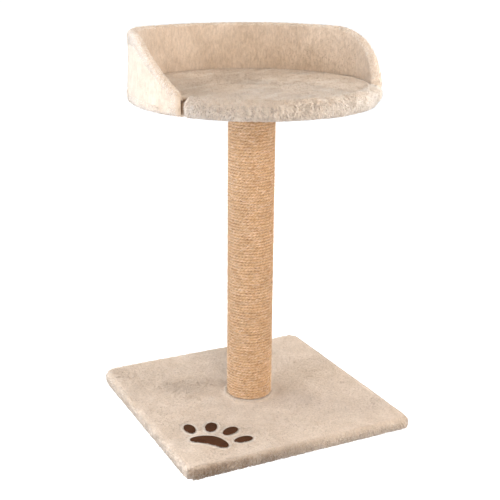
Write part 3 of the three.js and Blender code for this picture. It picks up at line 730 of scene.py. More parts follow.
def stitched_patch(name, outline):
    """A satin-stitched patch: rings that shrink towards the outline's middle and rise as a flat cushion,
    with each thread across it raised a little. The underside is the outline, closed flat."""
    middle = outline.mean(0)
    share = np.sin(np.linspace(0, math.pi / 2, 9))[:0:-1]
    plan = np.concatenate([outline[None], middle + (outline - middle) * share[:, None, None]])
    height = np.append(0.0, 1.2 * np.sqrt(np.clip(1 - share**6, 0, 1)) + 0.35)[:, None]
    across, ahead = plan[..., 0], plan[..., 1]
    ridge = 0.10 * np.sin(TURN * across / STITCH_PITCH + 0.8 * np.sin(ahead * 1.3))
    z = BASE_TOP - 0.1 + height + ridge * (height > 0.3)
    rows, columns = z.shape
    rim = np.arange(columns)[None]
    faces = [grid_faces(rows, columns, wrap=True), (rows - 1) * columns + rim, rim[:, ::-1]]
    weave = [(plan.reshape(-1, 2)[f] - outline.min(0)) / 40.0 for f in faces]
    points = coords(*paw_world(across, ahead), z)
    new_piece(name + "_stitching", points, faces, THREAD, "stitching", [name], weave=weave)


for name, outline in PAW_SHAPES:
    stitched_patch(name, outline)


# ---- Base ----------------------------------------------------------------------------------


def square_outline(half, corner, per_side):
    """Points round a square with rounded corners, counter-clockwise from the middle of the corner at +X
    -Y, equally far apart along each quarter."""
    straight = 2 * (half - corner)
    bend = corner * math.pi / 4
    s = np.arange(per_side) / per_side * (straight + corner * math.pi / 2)
    first = np.minimum(s / corner - math.pi / 4, 0)
    last = np.maximum((s - bend - straight) / corner, 0)
    centre = half - corner
    where = [s < bend, s > bend + straight]
    x = np.select(where, [centre + corner * np.cos(first), centre + corner * np.cos(last)], half)
    bends = [-centre + corner * np.sin(first), centre + corner * np.sin(last)]
    y = np.select(where, bends, -centre + (s - bend))
    return np.concatenate([coords(x, y), coords(-y, x), coords(-x, -y), coords(y, -x)])


def filled(outline, n):
    """A square grid inside a closed outline of four sides of n steps: each point is the sum of the blends
    between the opposite sides, less the blend of the four corners."""
    whole = np.concatenate([outline, outline[:1]])
    right, top, left, bottom = (whole[k * n : (k + 1) * n + 1] for k in range(4))
    left, top = left[::-1], top[::-1]
    u = np.linspace(0, 1, n + 1)[None, :, None]
    v = np.linspace(0, 1, n + 1)[:, None, None]
    sides = (1 - u) * left[:, None] + u * right[:, None] + (1 - v) * bottom[None] + v * top[None]
    low = (1 - u) * (1 - v) * bottom[0] + u * (1 - v) * bottom[-1]
    return sides - (low + (1 - u) * v * top[0] + u * v * top[-1])


def capped_grid(name, top, strip, replaced, **values):
    """A closed plush body: a square grid on top, a strip that starts at its rim and turns down and under,
    and one flat face that closes the strip's last ring. Each value is a pair, for the grid and for the
    strip. The grid takes the left part of the bake's map and the strip the right."""
    n = top.shape[0] - 1
    rings, around = strip.shape[:2]
    start = (n + 1) ** 2
    k, j = np.arange(n), np.arange(around)
    after = (j + 1) % around
    # The grid's own point numbers round its rim: right, top, left, bottom.
    rim = np.concatenate([k * (n + 1) + n, n * (n + 1) + n - k, (n - k) * (n + 1), k])
    faces = [
        grid_faces(n + 1, n + 1),
        np.stack([rim, start + j, start + after, rim[after]], -1),
        grid_faces(rings, around, start, wrap=True)[:, ::-1],
        (start + (rings - 1) * around + j)[None, ::-1],
    ]
    left, right = 0.655, 0.995
    step = (right - left) / rings
    corners = ((left, j), (left + step, j), (left + step, j + 1), (left, j + 1))
    strip_map = grid_uv(rings, around, wrap=True)[..., ::-1] * (right - left - step, 1.0) + (left + step, 0.0)
    turn = TURN * j / around
    bake = [
        grid_uv(n + 1, n + 1, low=(0.005, 0.005), high=(0.645, 0.995)),
        np.stack([coords(x, y / around) for x, y in corners], 1),
        strip_map[:, ::-1],
        coords(0.998 + 0.0015 * np.cos(turn), 0.5 + 0.0015 * np.sin(turn))[None, ::-1],
    ]
    parts = top, strip
    attributes = {
        key: np.concatenate([np.broadcast_to(v, part.shape[:2]).ravel() for v, part in zip(pair, parts)])
        for key, pair in values.items()
    }
    points = np.concatenate([part.reshape(-1, 3) for part in parts])
    return new_piece(name, points, faces, PLUSH, "plush", [replaced], attributes=attributes, bake=bake)


def softened(points):
    """The base's back left corner is pulled in by up to 4.5 mm, as its fold is rounder than the others."""
    corner = np.array([-BASE_HALF, BASE_HALF])
    near = smooth_step(42, 4, np.hypot(*np.moveaxis(points[..., :2] - corner, -1, 0)))
    points = points.copy()
    points[..., :2] += 4.5 * near[..., None] * np.array([1, -1]) / math.sqrt(2)
    return points


def painted_front_shade(points):
    """Painted shade on the base's front, 0 to 1: an even light shade over the face, upright streaks that
    are darkest near the left corner and fade to the right, and a painted contact shadow along its foot."""
    x, y, z = np.moveaxis(points, -1, 0)
    front = smooth_step(BASE_HALF - 15, BASE_HALF - 6, -y)
    along = smooth_step(200, -180, x) ** 1.7 * smooth_step(-BASE_HALF - 1, -BASE_HALF + 9, x)
    low = smooth_step(BASE_TOP + 0.5, BASE_TOP - 6, z)
    shade_streaks = 0.8 + 0.22 * field(points, (2.4, 2.4, 9.0), 7, 2) + 0.18 * field(points, (17.0, 17.0, 30.0), 9)
    # A painted contact shadow along the foot of the front.
    foot = 0.5 * smooth_step(4.5, 1.0, z)
    return front * np.maximum(0.16 + 0.84 * along * low * np.clip(shade_streaks, 0, 1), foot)


def base_plush():
    """The cover over the base: a rounded square top with slow swells, sides that round into it, and a hem
    turned 35 mm under the board. The pile sinks 1 mm under the paw's patches and stands up round them and
    round the post."""
    n = 212
    half, high = BASE_HALF - SKIN, BASE_TOP - SKIN
    low_round, floor_gap = 4.6, 0.05
    top = raised(filled(square_outline(half - BASE_ROUND, BASE_CORNER - BASE_ROUND, n), n), high)
    profile = []
    for a in quarter_turn(9):
        profile.append((BASE_ROUND * (1 - math.sin(a)), high - BASE_ROUND * (1 - math.cos(a))))
    profile += [(0.0, z) for z in np.linspace(high - BASE_ROUND, low_round, 4)[1:]]
    for a in quarter_turn(3):
        z = low_round * (1 - math.sin(a)) + floor_gap * math.sin(a)
        profile.append((low_round * (1 - math.cos(a)), z))
    shown = len(profile)
    profile += [(inset, floor_gap) for inset in np.linspace(low_round, HEM_WIDTH, 9)[1:]]
    profile = np.array(profile + [(HEM_WIDTH + 0.6, 1.0), (HEM_WIDTH + 0.6, 6.0)])
    strip = np.array(
        [raised(square_outline(half - inset, max(BASE_CORNER - inset, 2.0), n), z) for inset, z in profile]
    )
    away = paw_distance(top[..., 0], top[..., 1])
    under = smooth_step(1.0, -2.0, away)
    from_post = np.hypot(top[..., 0], top[..., 1]) - POST_RADIUS
    raise_by = 0.6 * bell(away, 3.2, 2.6) + 2.6 * bell(from_post, 0.5, 5.0)
    top[..., 2] += pile_relief(top, 11) * (1 - under) - 1.0 * under + raise_by
    # The strip swells along its own normal, which turns with the profile from straight up to straight out.
    outward = level_away(strip, np.clip(strip, -(half - BASE_CORNER), half - BASE_CORNER))
    slope = unit(-np.gradient(profile, axis=0))
    direction = slope[:, 1, None, None] * outward + slope[:, 0, None, None] * UP
    swell = pile_relief(strip, 11) * smooth_step(0.2, 4.0, strip[..., 2])
    swell = swell * (np.arange(len(profile)) < shown)[:, None]
    # The left side is lit from close by, and is the smoothest.
    below = smooth_step(BASE_TOP - 1, BASE_TOP - 7, strip[..., 2])
    swell = swell * (1 - 0.8 * smooth_step(-0.5, -0.9, outward[..., 0]) * below)
    strip = strip + direction * swell[..., None]
    strip[..., 2] = np.maximum(strip[..., 2], floor_gap)
    top, strip = softened(top), softened(strip)
    pale = 0.5 * bell(away, 2.4, 2.4)
    # Painted shade: the base's front in streaks and along its foot, and the top a little all over.
    deep = np.maximum(painted_front_shade(top), 0.08), 0.85 * painted_front_shade(strip)
    capped_grid("base_plush", top, strip, "base_cover", tip=(0.5, 0.5), pale=(pale, 0.0), deep=deep)
    return top, strip


def base_pile(top, strip):
    """Locks of pile: short ones combed in swirls over the top, a ring of them round the post's foot, and
    longer ones that stand out along the edges."""
    rng = np.random.default_rng(21)
    away = paw_distance(top[..., 0], top[..., 1])
    free = (away > 0.8) & (np.hypot(top[..., 0], top[..., 1]) > POST_RADIUS + 0.5)
    roots, up = scattered(top, grid_normals(top), free, 44000, rng)
    near = paw_distance(roots[:, 0], roots[:, 1])
    from_paw = unit(coords(roots[:, 0] - PAW_CENTRE[0], roots[:, 1] - PAW_CENTRE[1], 0.0))
    comb = nap(roots, (62, 62, 200), 5, -110) + 2.0 * from_paw * bell(near, 0, 6)[:, None]
    lean = 62 - 26 * bell(near, 0, 5)
    lean = np.where(np.hypot(roots[:, 0], roots[:, 1]) < POST_RADIUS + 6, 48, lean)
    pale = 0.6 * bell(near, 2.2, 2.4)
    # The top's locks are darkened a little all over, a painted shade, with random mottle on it.
    tufts("base_pile_top", roots, up, comb, 3.0, 1.25, lean[:, None], rng, pale, bent=False,
          deep=0.11 + 0.2 * np.clip(field(roots, 4.5, 23, 2), 0, 1))
    # Pale locks with light roots round the post's foot: painted light over the shade at its foot.
    turn = rng.uniform(0, TURN, 1300)
    roots = on_circle(POST_RADIUS + rng.uniform(0.1, 4.0, 1300), turn, BASE_TOP + 0.7)
    up = np.broadcast_to(UP, roots.shape)
    tufts("base_pile_foot", roots, up, on_circle(1.0, turn), 2.6, 1.3, 34.0, rng, 0.15, bent=False, dark=0.5)
    body = closed(strip[:15])
    roots, out = scattered(body, -grid_normals(body), 1.0, 15000, rng)
    comb = coords(0.4 * field(roots, 30, 8), 0.4 * field(roots, 30, 9), -1.0) + out * 0.01
    low = smooth_step(BASE_TOP - 3, BASE_TOP - 11, roots[:, 2])
    left = smooth_step(-0.5, -0.9, out[:, 0])
    # The edge locks take the same painted shade on the base's front.
    tufts("base_pile_edge", roots, out, comb, 3.0 + 2.2 * low * (1 - left), 1.3 + 0.3 * low[:, None],
          58.0 + 14 * left[:, None], rng, floor=0.2, dark=0.35, deep=painted_front_shade(roots),
          mottle=((3.2, 3.2, 9.0), 7, (0.25 * low * (1 - 0.9 * left))[:, None]))


base_pile(*base_plush())


def base_board():
    """The board inside the base, with its upper edge rounded under the plush. The rings go from the
    bolt's hole over the top, down the sides and back along the underside, up round the washer's recess
    and down the hole again."""
    low, high = box_mm("base_board")
    washer_low, washer_high = box_mm("base_washer")
    corner, per_side, upper = 26.0, 60, BASE_ROUND - 1.2
    hole, recess, middle = 4.3, washer_high[0] + 1.0, 60.0
    roof = washer_high[2] + 0.3
    count = 4 * per_side
    a = TURN * (np.arange(count) / count - 0.125)

    def square(inset, z):
        return raised(square_outline(high[0] - inset, max(corner - inset, 2.0), per_side), z)

    rings = [on_circle(hole, a, high[2]), on_circle(middle, a, high[2])]
    for turn in (0.0, *quarter_turn(6)):
        rings.append(square(upper * (1 - math.sin(turn)), high[2] - upper * (1 - math.cos(turn))))
    rings += [square(0.0, low[2] + 1.0), square(1.0, low[2])]
    for radius, z in ((middle, low[2]), (recess, low[2]), (recess, roof), (hole, roof)):
        rings.append(on_circle(radius, a, z))
    faces = [loop_faces(len(rings), count)[:, ::-1]]
    new_piece("base_board_rounded", rings, faces, CHIPBOARD, "chipboard", ["base_board"], smooth=False)


base_board()


# ---- Sisal rope ----------------------------------------------------------------------------


def rope_strand(which):
    """One of the rope's three strands. The rope climbs the tube as a helix, one pitch each turn, and the
    strand circles the rope's centre once each lay. Its section has five corners, and swells and thins by
    a few percent."""
    rope_radius, strand_radius, lay = 2.7, 1.3, 15.5
    steps, sides = 16600, 5
    centre_radius = POST_RADIUS + 0.3 - rope_radius
    turns = (POST_TOP - POST_BOTTOM - 2 * rope_radius + 0.8) / ROPE_PITCH
    t = np.linspace(0, 1, steps)
    run = turns * math.hypot(TURN * centre_radius, ROPE_PITCH) * t
    height = POST_BOTTOM + rope_radius - 0.4 + ROPE_PITCH * turns * t
    wander = 0.35 * field(coords(run, 0.0, 0.0), 15.0, 31, 2)
    slack = 1.6 * field(coords(run, 0.0, 0.0), 24.0, 32, 2)
    twist = TURN * run / lay + TURN * which / 3 + slack
    out = on_circle(1.0, TURN * turns * t + 0.6)
    away = np.cos(twist)[:, None] * out + np.sin(twist)[:, None] * UP
    centre = out * centre_radius + UP * (height + wander)[:, None]
    centre = centre + (rope_radius - strand_radius) * away
    tangent = unit(np.gradient(centre, axis=0))
    normal = unit(away)
    normal = unit(normal - tangent * (normal * tangent).sum(-1, keepdims=True))
    binormal = np.cross(tangent, normal)
    around = TURN * np.arange(sides) / sides
    place = coords(run[:, None], around * 2, which * 9.0)
    size = strand_radius * (1 + 0.24 * field(place, (7.0, 2.5, 1.0), 33, 2))
    turn = (around + 0.55 * twist[:, None])[..., None]
    spoke = np.cos(turn) * normal[:, None] + np.sin(turn) * binormal[:, None]
    points = centre[:, None] + size[..., None] * spoke
    # How far a point lies down in the grooves, from 0 on the outside to 1. The finish paints shade by it.
    depth = (centre_radius + rope_radius - np.hypot(points[..., 0], points[..., 1])) / (1.5 * rope_radius)
    i, j = np.arange(steps - 1), np.arange(sides)
    faces = [grid_faces(steps, sides, wrap=True)[:, ::-1], j[None], ((steps - 1) * sides + j)[None, ::-1]]
    over = np.stack([j, j + 1, j + 1, j], -1)
    ahead = np.stack([run[1:], run[1:], run[:-1], run[:-1]], -1)[:, None] * MM
    weave = [coords(ahead, over / sides + which * 3).reshape(-1, 4, 2)] + [np.zeros((1, sides, 2))] * 2
    # On the bake's map the strand lies in rows, one above the other.
    rows = 40
    per_row = math.ceil((steps - 1) / rows)
    row, column = i // per_row, i % per_row
    left = np.stack([column + 1, column + 1, column, column], -1)[:, None] / per_row
    up = (row[:, None, None] + 0.04 + 0.92 * over / sides) / rows
    cap = coords(0.5 + 0.002 * np.cos(around), 0.998 + 0.0015 * np.sin(around))[None, ::-1]
    bake = [coords(left, up).reshape(-1, 4, 2), cap, cap]
    new_piece(f"sisal_strand_{which + 1}", points, faces, SISAL, "sisal", ["sisal_winding"],
              attributes={"depth": depth}, bake=bake, weave=weave)


for which in range(3):
    rope_strand(which)


def sisal_bed():
    """The packed fibre down between the turns: a thin tube 2.1 mm under the rope's outside, closed at
    both ends."""
    outer, inner = POST_RADIUS - 2.1, POST_RADIUS - 4.6
    around, rows = 96, 160
    a = np.linspace(0, TURN, around, endpoint=False)
    z = np.linspace(POST_BOTTOM + 1.2, POST_TOP - 1.2, rows)
    profile = np.concatenate([coords(outer, z), [[inner, z[-1]], [inner, z[0]]]])
    radius, height = profile[:, :1], profile[:, 1:]
    swell = 0.25 * (radius == outer) * field(on_circle(40, a, height), (6, 6, 2), 35, 2)
    weave = grid_uv(len(profile) + 1, around, wrap=True, high=(TURN * outer * MM, 190.0))
    points = on_circle(radius + swell, a, height)
    faces = [loop_faces(len(profile), around)]
    # The bed takes a little of the rope's painted valley shade.
    new_piece("sisal_bed", points, faces, SISAL, "sisal", attributes={"depth": 0.12}, weave=[weave])


sisal_bed()


def loose_fibres(name, seed, count, longest, lift, drop, thick, depth):
    """Fine ends of fibre on the rope: three-sided hairs of three joints, which leave nearly along the
    turn. `lift` is how far their tips stand off for their length, and `drop` how far they lean up or
    down."""
    rng = np.random.default_rng(seed)
    joints = 3
    angle = rng.uniform(0, TURN, count)
    height = rng.uniform(POST_BOTTOM + 3, POST_TOP - 3, count)
    length = rng.uniform(0.35 * longest, longest, (count, 1, 1))
    out = on_circle(1.0, angle)
    ahead = coords(-np.sin(angle), np.cos(angle), 0.0) * rng.choice([-1, 1], (count, 1))
    t = np.linspace(0, 1, joints)[None, :, None]
    rise = rng.uniform(0.2, 1.0, (count, 1, 1)) * lift
    lean = rng.normal(0, drop, (count, 1, 1))
    root = on_circle(POST_RADIUS - depth, angle, height)
    # A hair along the turn falls behind the round of the post, so it is lifted by the circle's own sagitta.
    round_off = (length * t) ** 2 / (2 * POST_RADIUS)
    path = root[:, None] + length * (t * ahead[:, None] + rise * t**1.5 * out[:, None] + lean * t * UP)
    path = path + round_off * out[:, None]
    girth = thick * (1 - 0.7 * t)
    thirds = [TURN * k / 3 for k in range(3)]
    ring = [path + girth * (math.cos(a) * out[:, None] + math.sin(a) * UP) for a in thirds]
    last = joints * 3 - 3
    ends = np.array([[2, 1, 0], [last, last + 1, last + 2]])
    start = (np.arange(count) * joints * 3)[:, None, None]
    sides = grid_faces(joints, 3, wrap=True)
    faces = [(start + local).reshape(-1, local.shape[1]) for local in (sides, ends)]
    new_piece(name, np.stack(ring, 2), faces, FIBRE, "sisal")


loose_fibres("sisal_fibres", 41, 1200, 13, 0.30, 0.22, 0.11, 1.0)
loose_fibres("sisal_wisps", 43, 6000, 8, 0.05, 0.2, 0.34, 0.35)


# ---- Seat ----------------------------------------------------------------------------------


def seat_point(radius, degrees, height):
    """A point by its radius from the seat's middle and its angle clockwise from the middle of the back."""
    a = np.radians(degrees)
    return coords(radius * np.sin(a), SEAT_Y + radius * np.cos(a), height)


def seat_profiles():
    """The seat's edge as radii and heights, over the front roll and, behind, down the board's edge and
    under it, and how many places of the first come before the hem."""
    high, lip = SEAT_EDGE_TOP - 1.0, SEAT_LIP
    front = [(174.2, high + 0.7 * lip), (176.8, high + lip), (179.4, high + lip * 0.95)]
    outer, edge, foot = FRONT_OUTER - 1.2, 11.5, 10.5
    for a in quarter_turn(7):
        front.append((outer - edge + edge * math.sin(a), high + lip * 0.8 - edge * (1 - math.cos(a))))
    front += [(outer, z) for z in np.linspace(front[-1][1], HEM_BOTTOM + foot, 6)[1:]]
    for a in quarter_turn(5):
        front.append((outer - foot * (1 - math.cos(a)), HEM_BOTTOM + 0.4 + foot * (1 - math.sin(a))))
    under = len(front)
    front += [(r, HEM_BOTTOM + 0.4) for r in np.linspace(outer - foot, HEM_INNER, 10)[1:]]
    front += [(HEM_INNER - 0.5, HEM_BOTTOM + 1.2), (HEM_INNER - 0.5, board_low[2] + 2.8)]
    under_board = board_low[2] - 0.3
    back = [(174.2, high), (176.8, high), (179.4, high)]
    back += [(min(180.0 + k, BACK_EDGE), high - max(0, k - 4) * 0.6) for k in range(1, 8)]
    back += [(BACK_EDGE, z) for z in np.linspace(back[-1][1], under_board + 4, 6)[1:]]
    back += [(BACK_EDGE - k * 0.8, under_board + 3.6 - 0.04 * k) for k in range(1, 6)]
    back += [(r, under_board + 3.3) for r in np.linspace(back[-1][0], HEM_INNER, 10)[1:]]
    back += [(HEM_INNER - 0.5, under_board + 3.2), (HEM_INNER - 0.5, under_board + 3.1)]
    return np.array(front), np.array(back), under


def seat_cover():
    """The seat: a disc whose middle swells, with a soft roll along the open front that turns down, round
    the foot and 35 mm under the board. Behind the wall the cover is pressed flat against the board's
    edge. Along the rim the two profiles are blended by how far a point is inside the open front."""
    n = 176
    high = SEAT_EDGE_TOP - 1.0
    # Even angles, from the front right diagonal, counter-clockwise as seen from above.
    angles = math.pi / 4 * (2 * (np.arange(n) / n) - 1)
    outline = on_circle(172.0, np.concatenate([angles + k * math.pi / 2 for k in range(4)]))[:, :2]
    x, y = np.moveaxis(filled(outline, n), -1, 0)
    inner, degrees = np.hypot(x, y), np.degrees(np.arctan2(x, y))
    top = coords(x, y + SEAT_Y, high + SEAT_CROWN * (1 - (inner / COVER_OUTER) ** 2))
    rim_angle = np.degrees(np.arctan2(outline[:, 0], outline[:, 1]))
    from_front = 180 - np.abs(rim_angle)
    share = smooth_step(FRONT_HALF + 0.9, FRONT_HALF - 1.0, from_front)
    front, back, under = seat_profiles()
    # In the slit the cover steps in to the board's edge, and past it, under the wall, it stops below the
    # board.
    stepped = front.copy()
    stepped[:, 0] = np.minimum(front[:, 0], BACK_EDGE - 0.2)
    near_top = smooth_step(high - 14, high - 5, front[:, 1])
    stepped[:, 1] -= 6.0 * smooth_step(173.5, 178.5, front[:, 0]) * near_top
    wall = smooth_step(FRONT_HALF + 2.6, FRONT_HALF + 4.0, from_front)
    behind = stepped[..., None] * (1 - wall) + back[..., None] * wall
    radius, z = (front[..., None] * share + behind * (1 - share)).transpose(1, 0, 2)
    # The roll's right end is fuller at its top and rounder below.
    right = smooth_step(150, 128, rim_angle) * smooth_step(60, 100, rim_angle) * (radius > 181)
    radius = radius + right * (2.2 * smooth_step(512, 532, z) - 3.2 * smooth_step(526, 511, z)) * share
    strip = seat_point(radius, rim_angle, z)
    # The roll is also felt a little way in from the rim.
    front_share = smooth_step(FRONT_HALF + 1, FRONT_HALF - 6, 180 - np.abs(degrees))
    top[..., 2] += front_share * 0.6 * SEAT_LIP * smooth_step(163, 174, inner)
    dimple = field(top, 60.0, 52, 2)
    top[..., 2] += pile_relief(top, 51, 0.3, 0.5) + 0.5 * dimple
    outward = level_away(strip, np.array([0, SEAT_Y, 0]))
    slope, across = np.gradient(z, axis=0), np.gradient(radius, axis=0)
    face = unit(outward * (-slope)[..., None] + UP * across[..., None])
    shown = share * (np.arange(len(front)) < under + 4)[:, None]
    strip = strip + face * (pile_relief(strip, 51, 0.5, 0.5) * shown)[..., None]
    strip[..., 2] = np.maximum(strip[..., 2], HEM_BOTTOM + 0.3)
    # Painted shade down in the slits at both ends of the roll.
    slit_shade = (1 - share) * smooth_step(174, 177, radius) * smooth_step(HEM_BOTTOM + 1, HEM_BOTTOM + 6, z)
    piece = capped_grid("seat_plush", top, strip, "seat_cover", tip=(0.46, 0.6), deep=(0.0, slit_shade))
    return top, strip, share, under


def seat_pile(top, strip, share, under):
    """Locks over the seat, combed in swirls, and longer ones that stand out all round the front roll."""
    rng = np.random.default_rng(61)
    roots, up = scattered(top, grid_normals(top), 1.0, 36000, rng)
    comb = nap(roots, (58, 58, 200), 15, 170)
    # Pale strokes, where the pile was brushed the other way, run across the view.
    strokes = field(roots @ np.array([[0.89, 0.45, 0], [-0.45, 0.89, 0], [0, 0, 1]]).T, (34, 9, 200), 64, 3)
    brushed = 0.12 + 0.68 * smooth_step(0.05, 0.5, strokes)
    tufts("seat_pile_top", roots, up, comb, 3.0, 1.25, 66.0, rng, brushed, bent=False, dark=0.45,
          deep=0.1 * smooth_step(0.25, -0.35, strokes))
    body = closed(strip[: under + 3])
    # The pile keeps off the slits at both ends of the roll.
    beside = 180 - np.abs(np.degrees(np.arctan2(body[..., 0], body[..., 1] - SEAT_Y)))
    shown = np.append(share, share[:1]) * (beside < FRONT_HALF - 1.0)
    roots, out = scattered(body, -grid_normals(body), shown, 13500, rng)
    sway = coords(0.9 * field(roots, 11, 18), 0.9 * field(roots, 11, 19), -0.8)
    low = smooth_step(SEAT_EDGE_TOP, SEAT_EDGE_TOP - 8, roots[:, 2]) * smooth_step(-0.9, -0.45, out[:, 2])
    length = 3.8 + 2.0 * low
    turned = np.degrees(np.arctan2(roots[:, 0], SEAT_Y - roots[:, 1]))
    middle = bell(turned, -20, 30)
    # Painted light: the locks grow paler towards the roll's right end.
    pale = 0.14 + 0.56 * smooth_step(-20, 50, turned)
    # Painted shade between the locks, heaviest low on the roll and in its middle.
    gap_shade = np.clip(0.1 + 1.0 * field(roots, (2.6, 2.6, 4.5), 63, 2), 0, 0.7) * low * (0.3 + 0.7 * middle)
    tufts("seat_pile_front", roots, out, sway + out * 0.01, length, 1.4 + 0.5 * low[:, None], 52.0, rng, pale,
          floor=HEM_BOTTOM + 0.2, dark=0.48, deep=0.7 * gap_shade,
          mottle=((2.6, 2.6, 4.5), 62, (low * (0.2 + 0.34 * middle))[:, None]))


seat_pile(*seat_cover())


# ---- Back wall -----------------------------------------------------------------------------


def wall_top(degrees):
    """The height of the wall's crown: level, then turning smoothly into the slanted end. The left end
    turns more sharply and stands a little higher than the right one."""
    left = smooth_step(20, -60, degrees)
    level = WALL_LEVEL - 1.0 + 3.2 * left * bell(degrees, -88, 26)
    level = level + 2.6 * bell(degrees, -52, 22) + 0.6 * smooth_step(-40, 20, degrees)
    slant = WALL_END_TOP - 1.0 + WALL_SLANT * (WALL_HALF_ANGLE - np.abs(degrees))
    reach = 44 - 26 * left
    blend = np.maximum(reach - np.abs(level - slant), 0) / reach
    return np.minimum(level, slant) - blend * blend * reach / 4


def carried(section, places):
    """The values at each point of a section, such as its radius and height, for every place it is carried
    to."""
    return np.array([[value + 0 * places for value in point] for point in section]).transpose(1, 0, 2)


def wall_cover():
    """The wall's sleeve: for each angle round the seat one closed section, with a padded inner face, a
    half-round crown, an outer face, a rounded foot, a hem under the board and a step over the seat.
    Towards both ends the section closes in on its own middle, so that the ends are round."""
    inner, outer = WALL_INNER + SKIN, WALL_OUTER - SKIN
    degrees = np.linspace(-WALL_HALF_ANGLE, WALL_HALF_ANGLE, 430)
    top = wall_top(degrees)
    half, middle = (outer - inner) / 2, (outer + inner) / 2
    foot = 8.5
    sill = SEAT_EDGE_TOP - 3.0
    low = HEM_BOTTOM + 0.4 + foot
    step = COVER_OUTER + 0.1
    step_low = HEM_BOTTOM + 1.9
    # Radius, height, and how far the plush's relief shows.
    section = [(inner, sill + (top - half - sill) * k / 43, 1.0) for k in range(44)]
    section += [(middle - half * math.cos(a), top - half + half * math.sin(a), 1.0) for a in half_turn(14)]
    section += [(outer, top - half + (low - top + half) * k / 53, 1.0) for k in range(54)]
    section += [(outer - foot * (1 - math.cos(a)), low - foot * math.sin(a), 1.0) for a in quarter_turn(5)]
    hem = HEM_INNER - outer + foot
    section += [(outer - foot + hem * k / 11, HEM_BOTTOM + 0.4, 0.5) for k in range(1, 12)]
    section += [(HEM_INNER + (step - HEM_INNER) * k / 4, step_low, 0.0) for k in range(5)]
    section += [(step, step_low + (sill - HEM_BOTTOM - 1.9) * k / 4, 0.0) for k in range(1, 5)]
    radius, height, keep = carried(section, top)
    along = np.radians(WALL_HALF_ANGLE - np.abs(degrees)) * middle
    close = np.sqrt(np.clip(1 - (1 - np.minimum(along / half, 1)) ** 2, 0.09, 1))
    upright = keep == 1.0
    # The outside is fuller towards the right end, and leans in a little towards the crown at the left.
    outside = smooth_step(middle - half, outer, radius) * upright * (height > HEM_BOTTOM + 3)
    fuller = 2.7 * smooth_step(45, 100, degrees)
    leaning = smooth_step(-25, -55, degrees) * np.clip((563 - height) * 0.04, -0.7, 1.5)
    radius = radius + outside * (fuller + leaning)
    radius = np.where(upright, middle + (radius - middle) * close, radius)
    height = height - upright * (height > sill + 4) * (1 - close) * half * smooth_step(top - 30, top, height)
    # The sleeve is quilted softly by the padding, and more so on its inner face.
    grid = seat_point(radius, degrees, height)
    normals = grid_normals(grid, wrap_rows=True)
    unrolled = coords(np.radians(degrees) * middle, radius, height * 0.55)
    inside = smooth_step(middle, inner, radius)
    relief = (0.05 + 0.25 * inside) * field(unrolled, (5.0, 6.0, 6.0), 71, 3)
    relief = relief + (0.22 + 0.18 * inside) * field(grid, 46.0, 72, 2)
    grid = grid + normals * (relief * keep * close)[..., None]
    grid[..., 2] = np.maximum(grid[..., 2], HEM_BOTTOM + 0.3)
    rows, columns = grid.shape[:2]
    circle = TURN * np.arange(rows) / rows
    end_map = coords(0.5 + 0.008 * np.cos(circle), 0.99 + 0.008 * np.sin(circle))[None]
    bake = [grid_uv(rows + 1, columns, low=(0.005, 0.02), high=(0.995, 0.98))]
    bake += [end_map, end_map[:, ::-1] - (0, 0.98)]
    faces = section_faces(rows, columns)
    piece = new_piece(
        "wall_plush", grid, faces, PLUSH, "plush", ["wall_cover"], attributes={"tip": 0.46}, bake=bake
    )
    return grid, normals, degrees


def wall_pile(grid, normals, degrees):
    """Locks on the wall: short ones combed down both faces, and longer ones that stand along the crown,
    the ends and the foot. The section's points from 45 to 62 are its crown, and from 105 to 115 its
    foot."""
    rng = np.random.default_rng(81)
    row = np.arange(len(grid))[:, None] + 0 * degrees
    roots, out = scattered(grid, normals, (row < 112) & (row != 0), 47000, rng)
    side = coords(out[:, 1], -out[:, 0], 0.0)
    sway = 0.9 * field(roots, (60, 60, 60), 85, 2)[:, None]
    comb = unit(-UP + sway * side) + 0.001
    outer = smooth_step(-0.2, 0.4, (out[:, :2] * (roots[:, :2] - [0, SEAT_Y])).sum(-1) / WALL_OUTER)
    lean = (70.0 + 8 * outer)[:, None]
    tufts("wall_pile_faces", roots, out, comb, 2.8 - 0.5 * outer, 1.15, lean, rng, bent=False, tone=0.6)
    ends = smooth_step(WALL_HALF_ANGLE - 6, WALL_HALF_ANGLE - 1, np.abs(degrees)) * (row < 116)
    crown, foot = (row >= 45) & (row <= 62), 0.6 * ((row > 104) & (row < 116))
    weight = np.maximum(crown, np.maximum(foot, ends)) * (np.abs(degrees) < WALL_HALF_ANGLE - 1.2)
    roots, out = scattered(grid, normals, weight, 11000, rng)
    comb = coords(0.6 * field(roots, 24, 86), 0.6 * field(roots, 24, 87), -0.5) + 0.001
    # Painted sheen: the locks along the crown, the ends and the foot are pale, with light roots.
    tufts("wall_pile_edges", roots, out, comb, 2.8, 1.2, 62.0, rng, 0.65, floor=HEM_BOTTOM + 0.2, dark=0.5)


wall_pile(*wall_cover())


# ---- Wadding and liner ---------------------------------------------------------------------


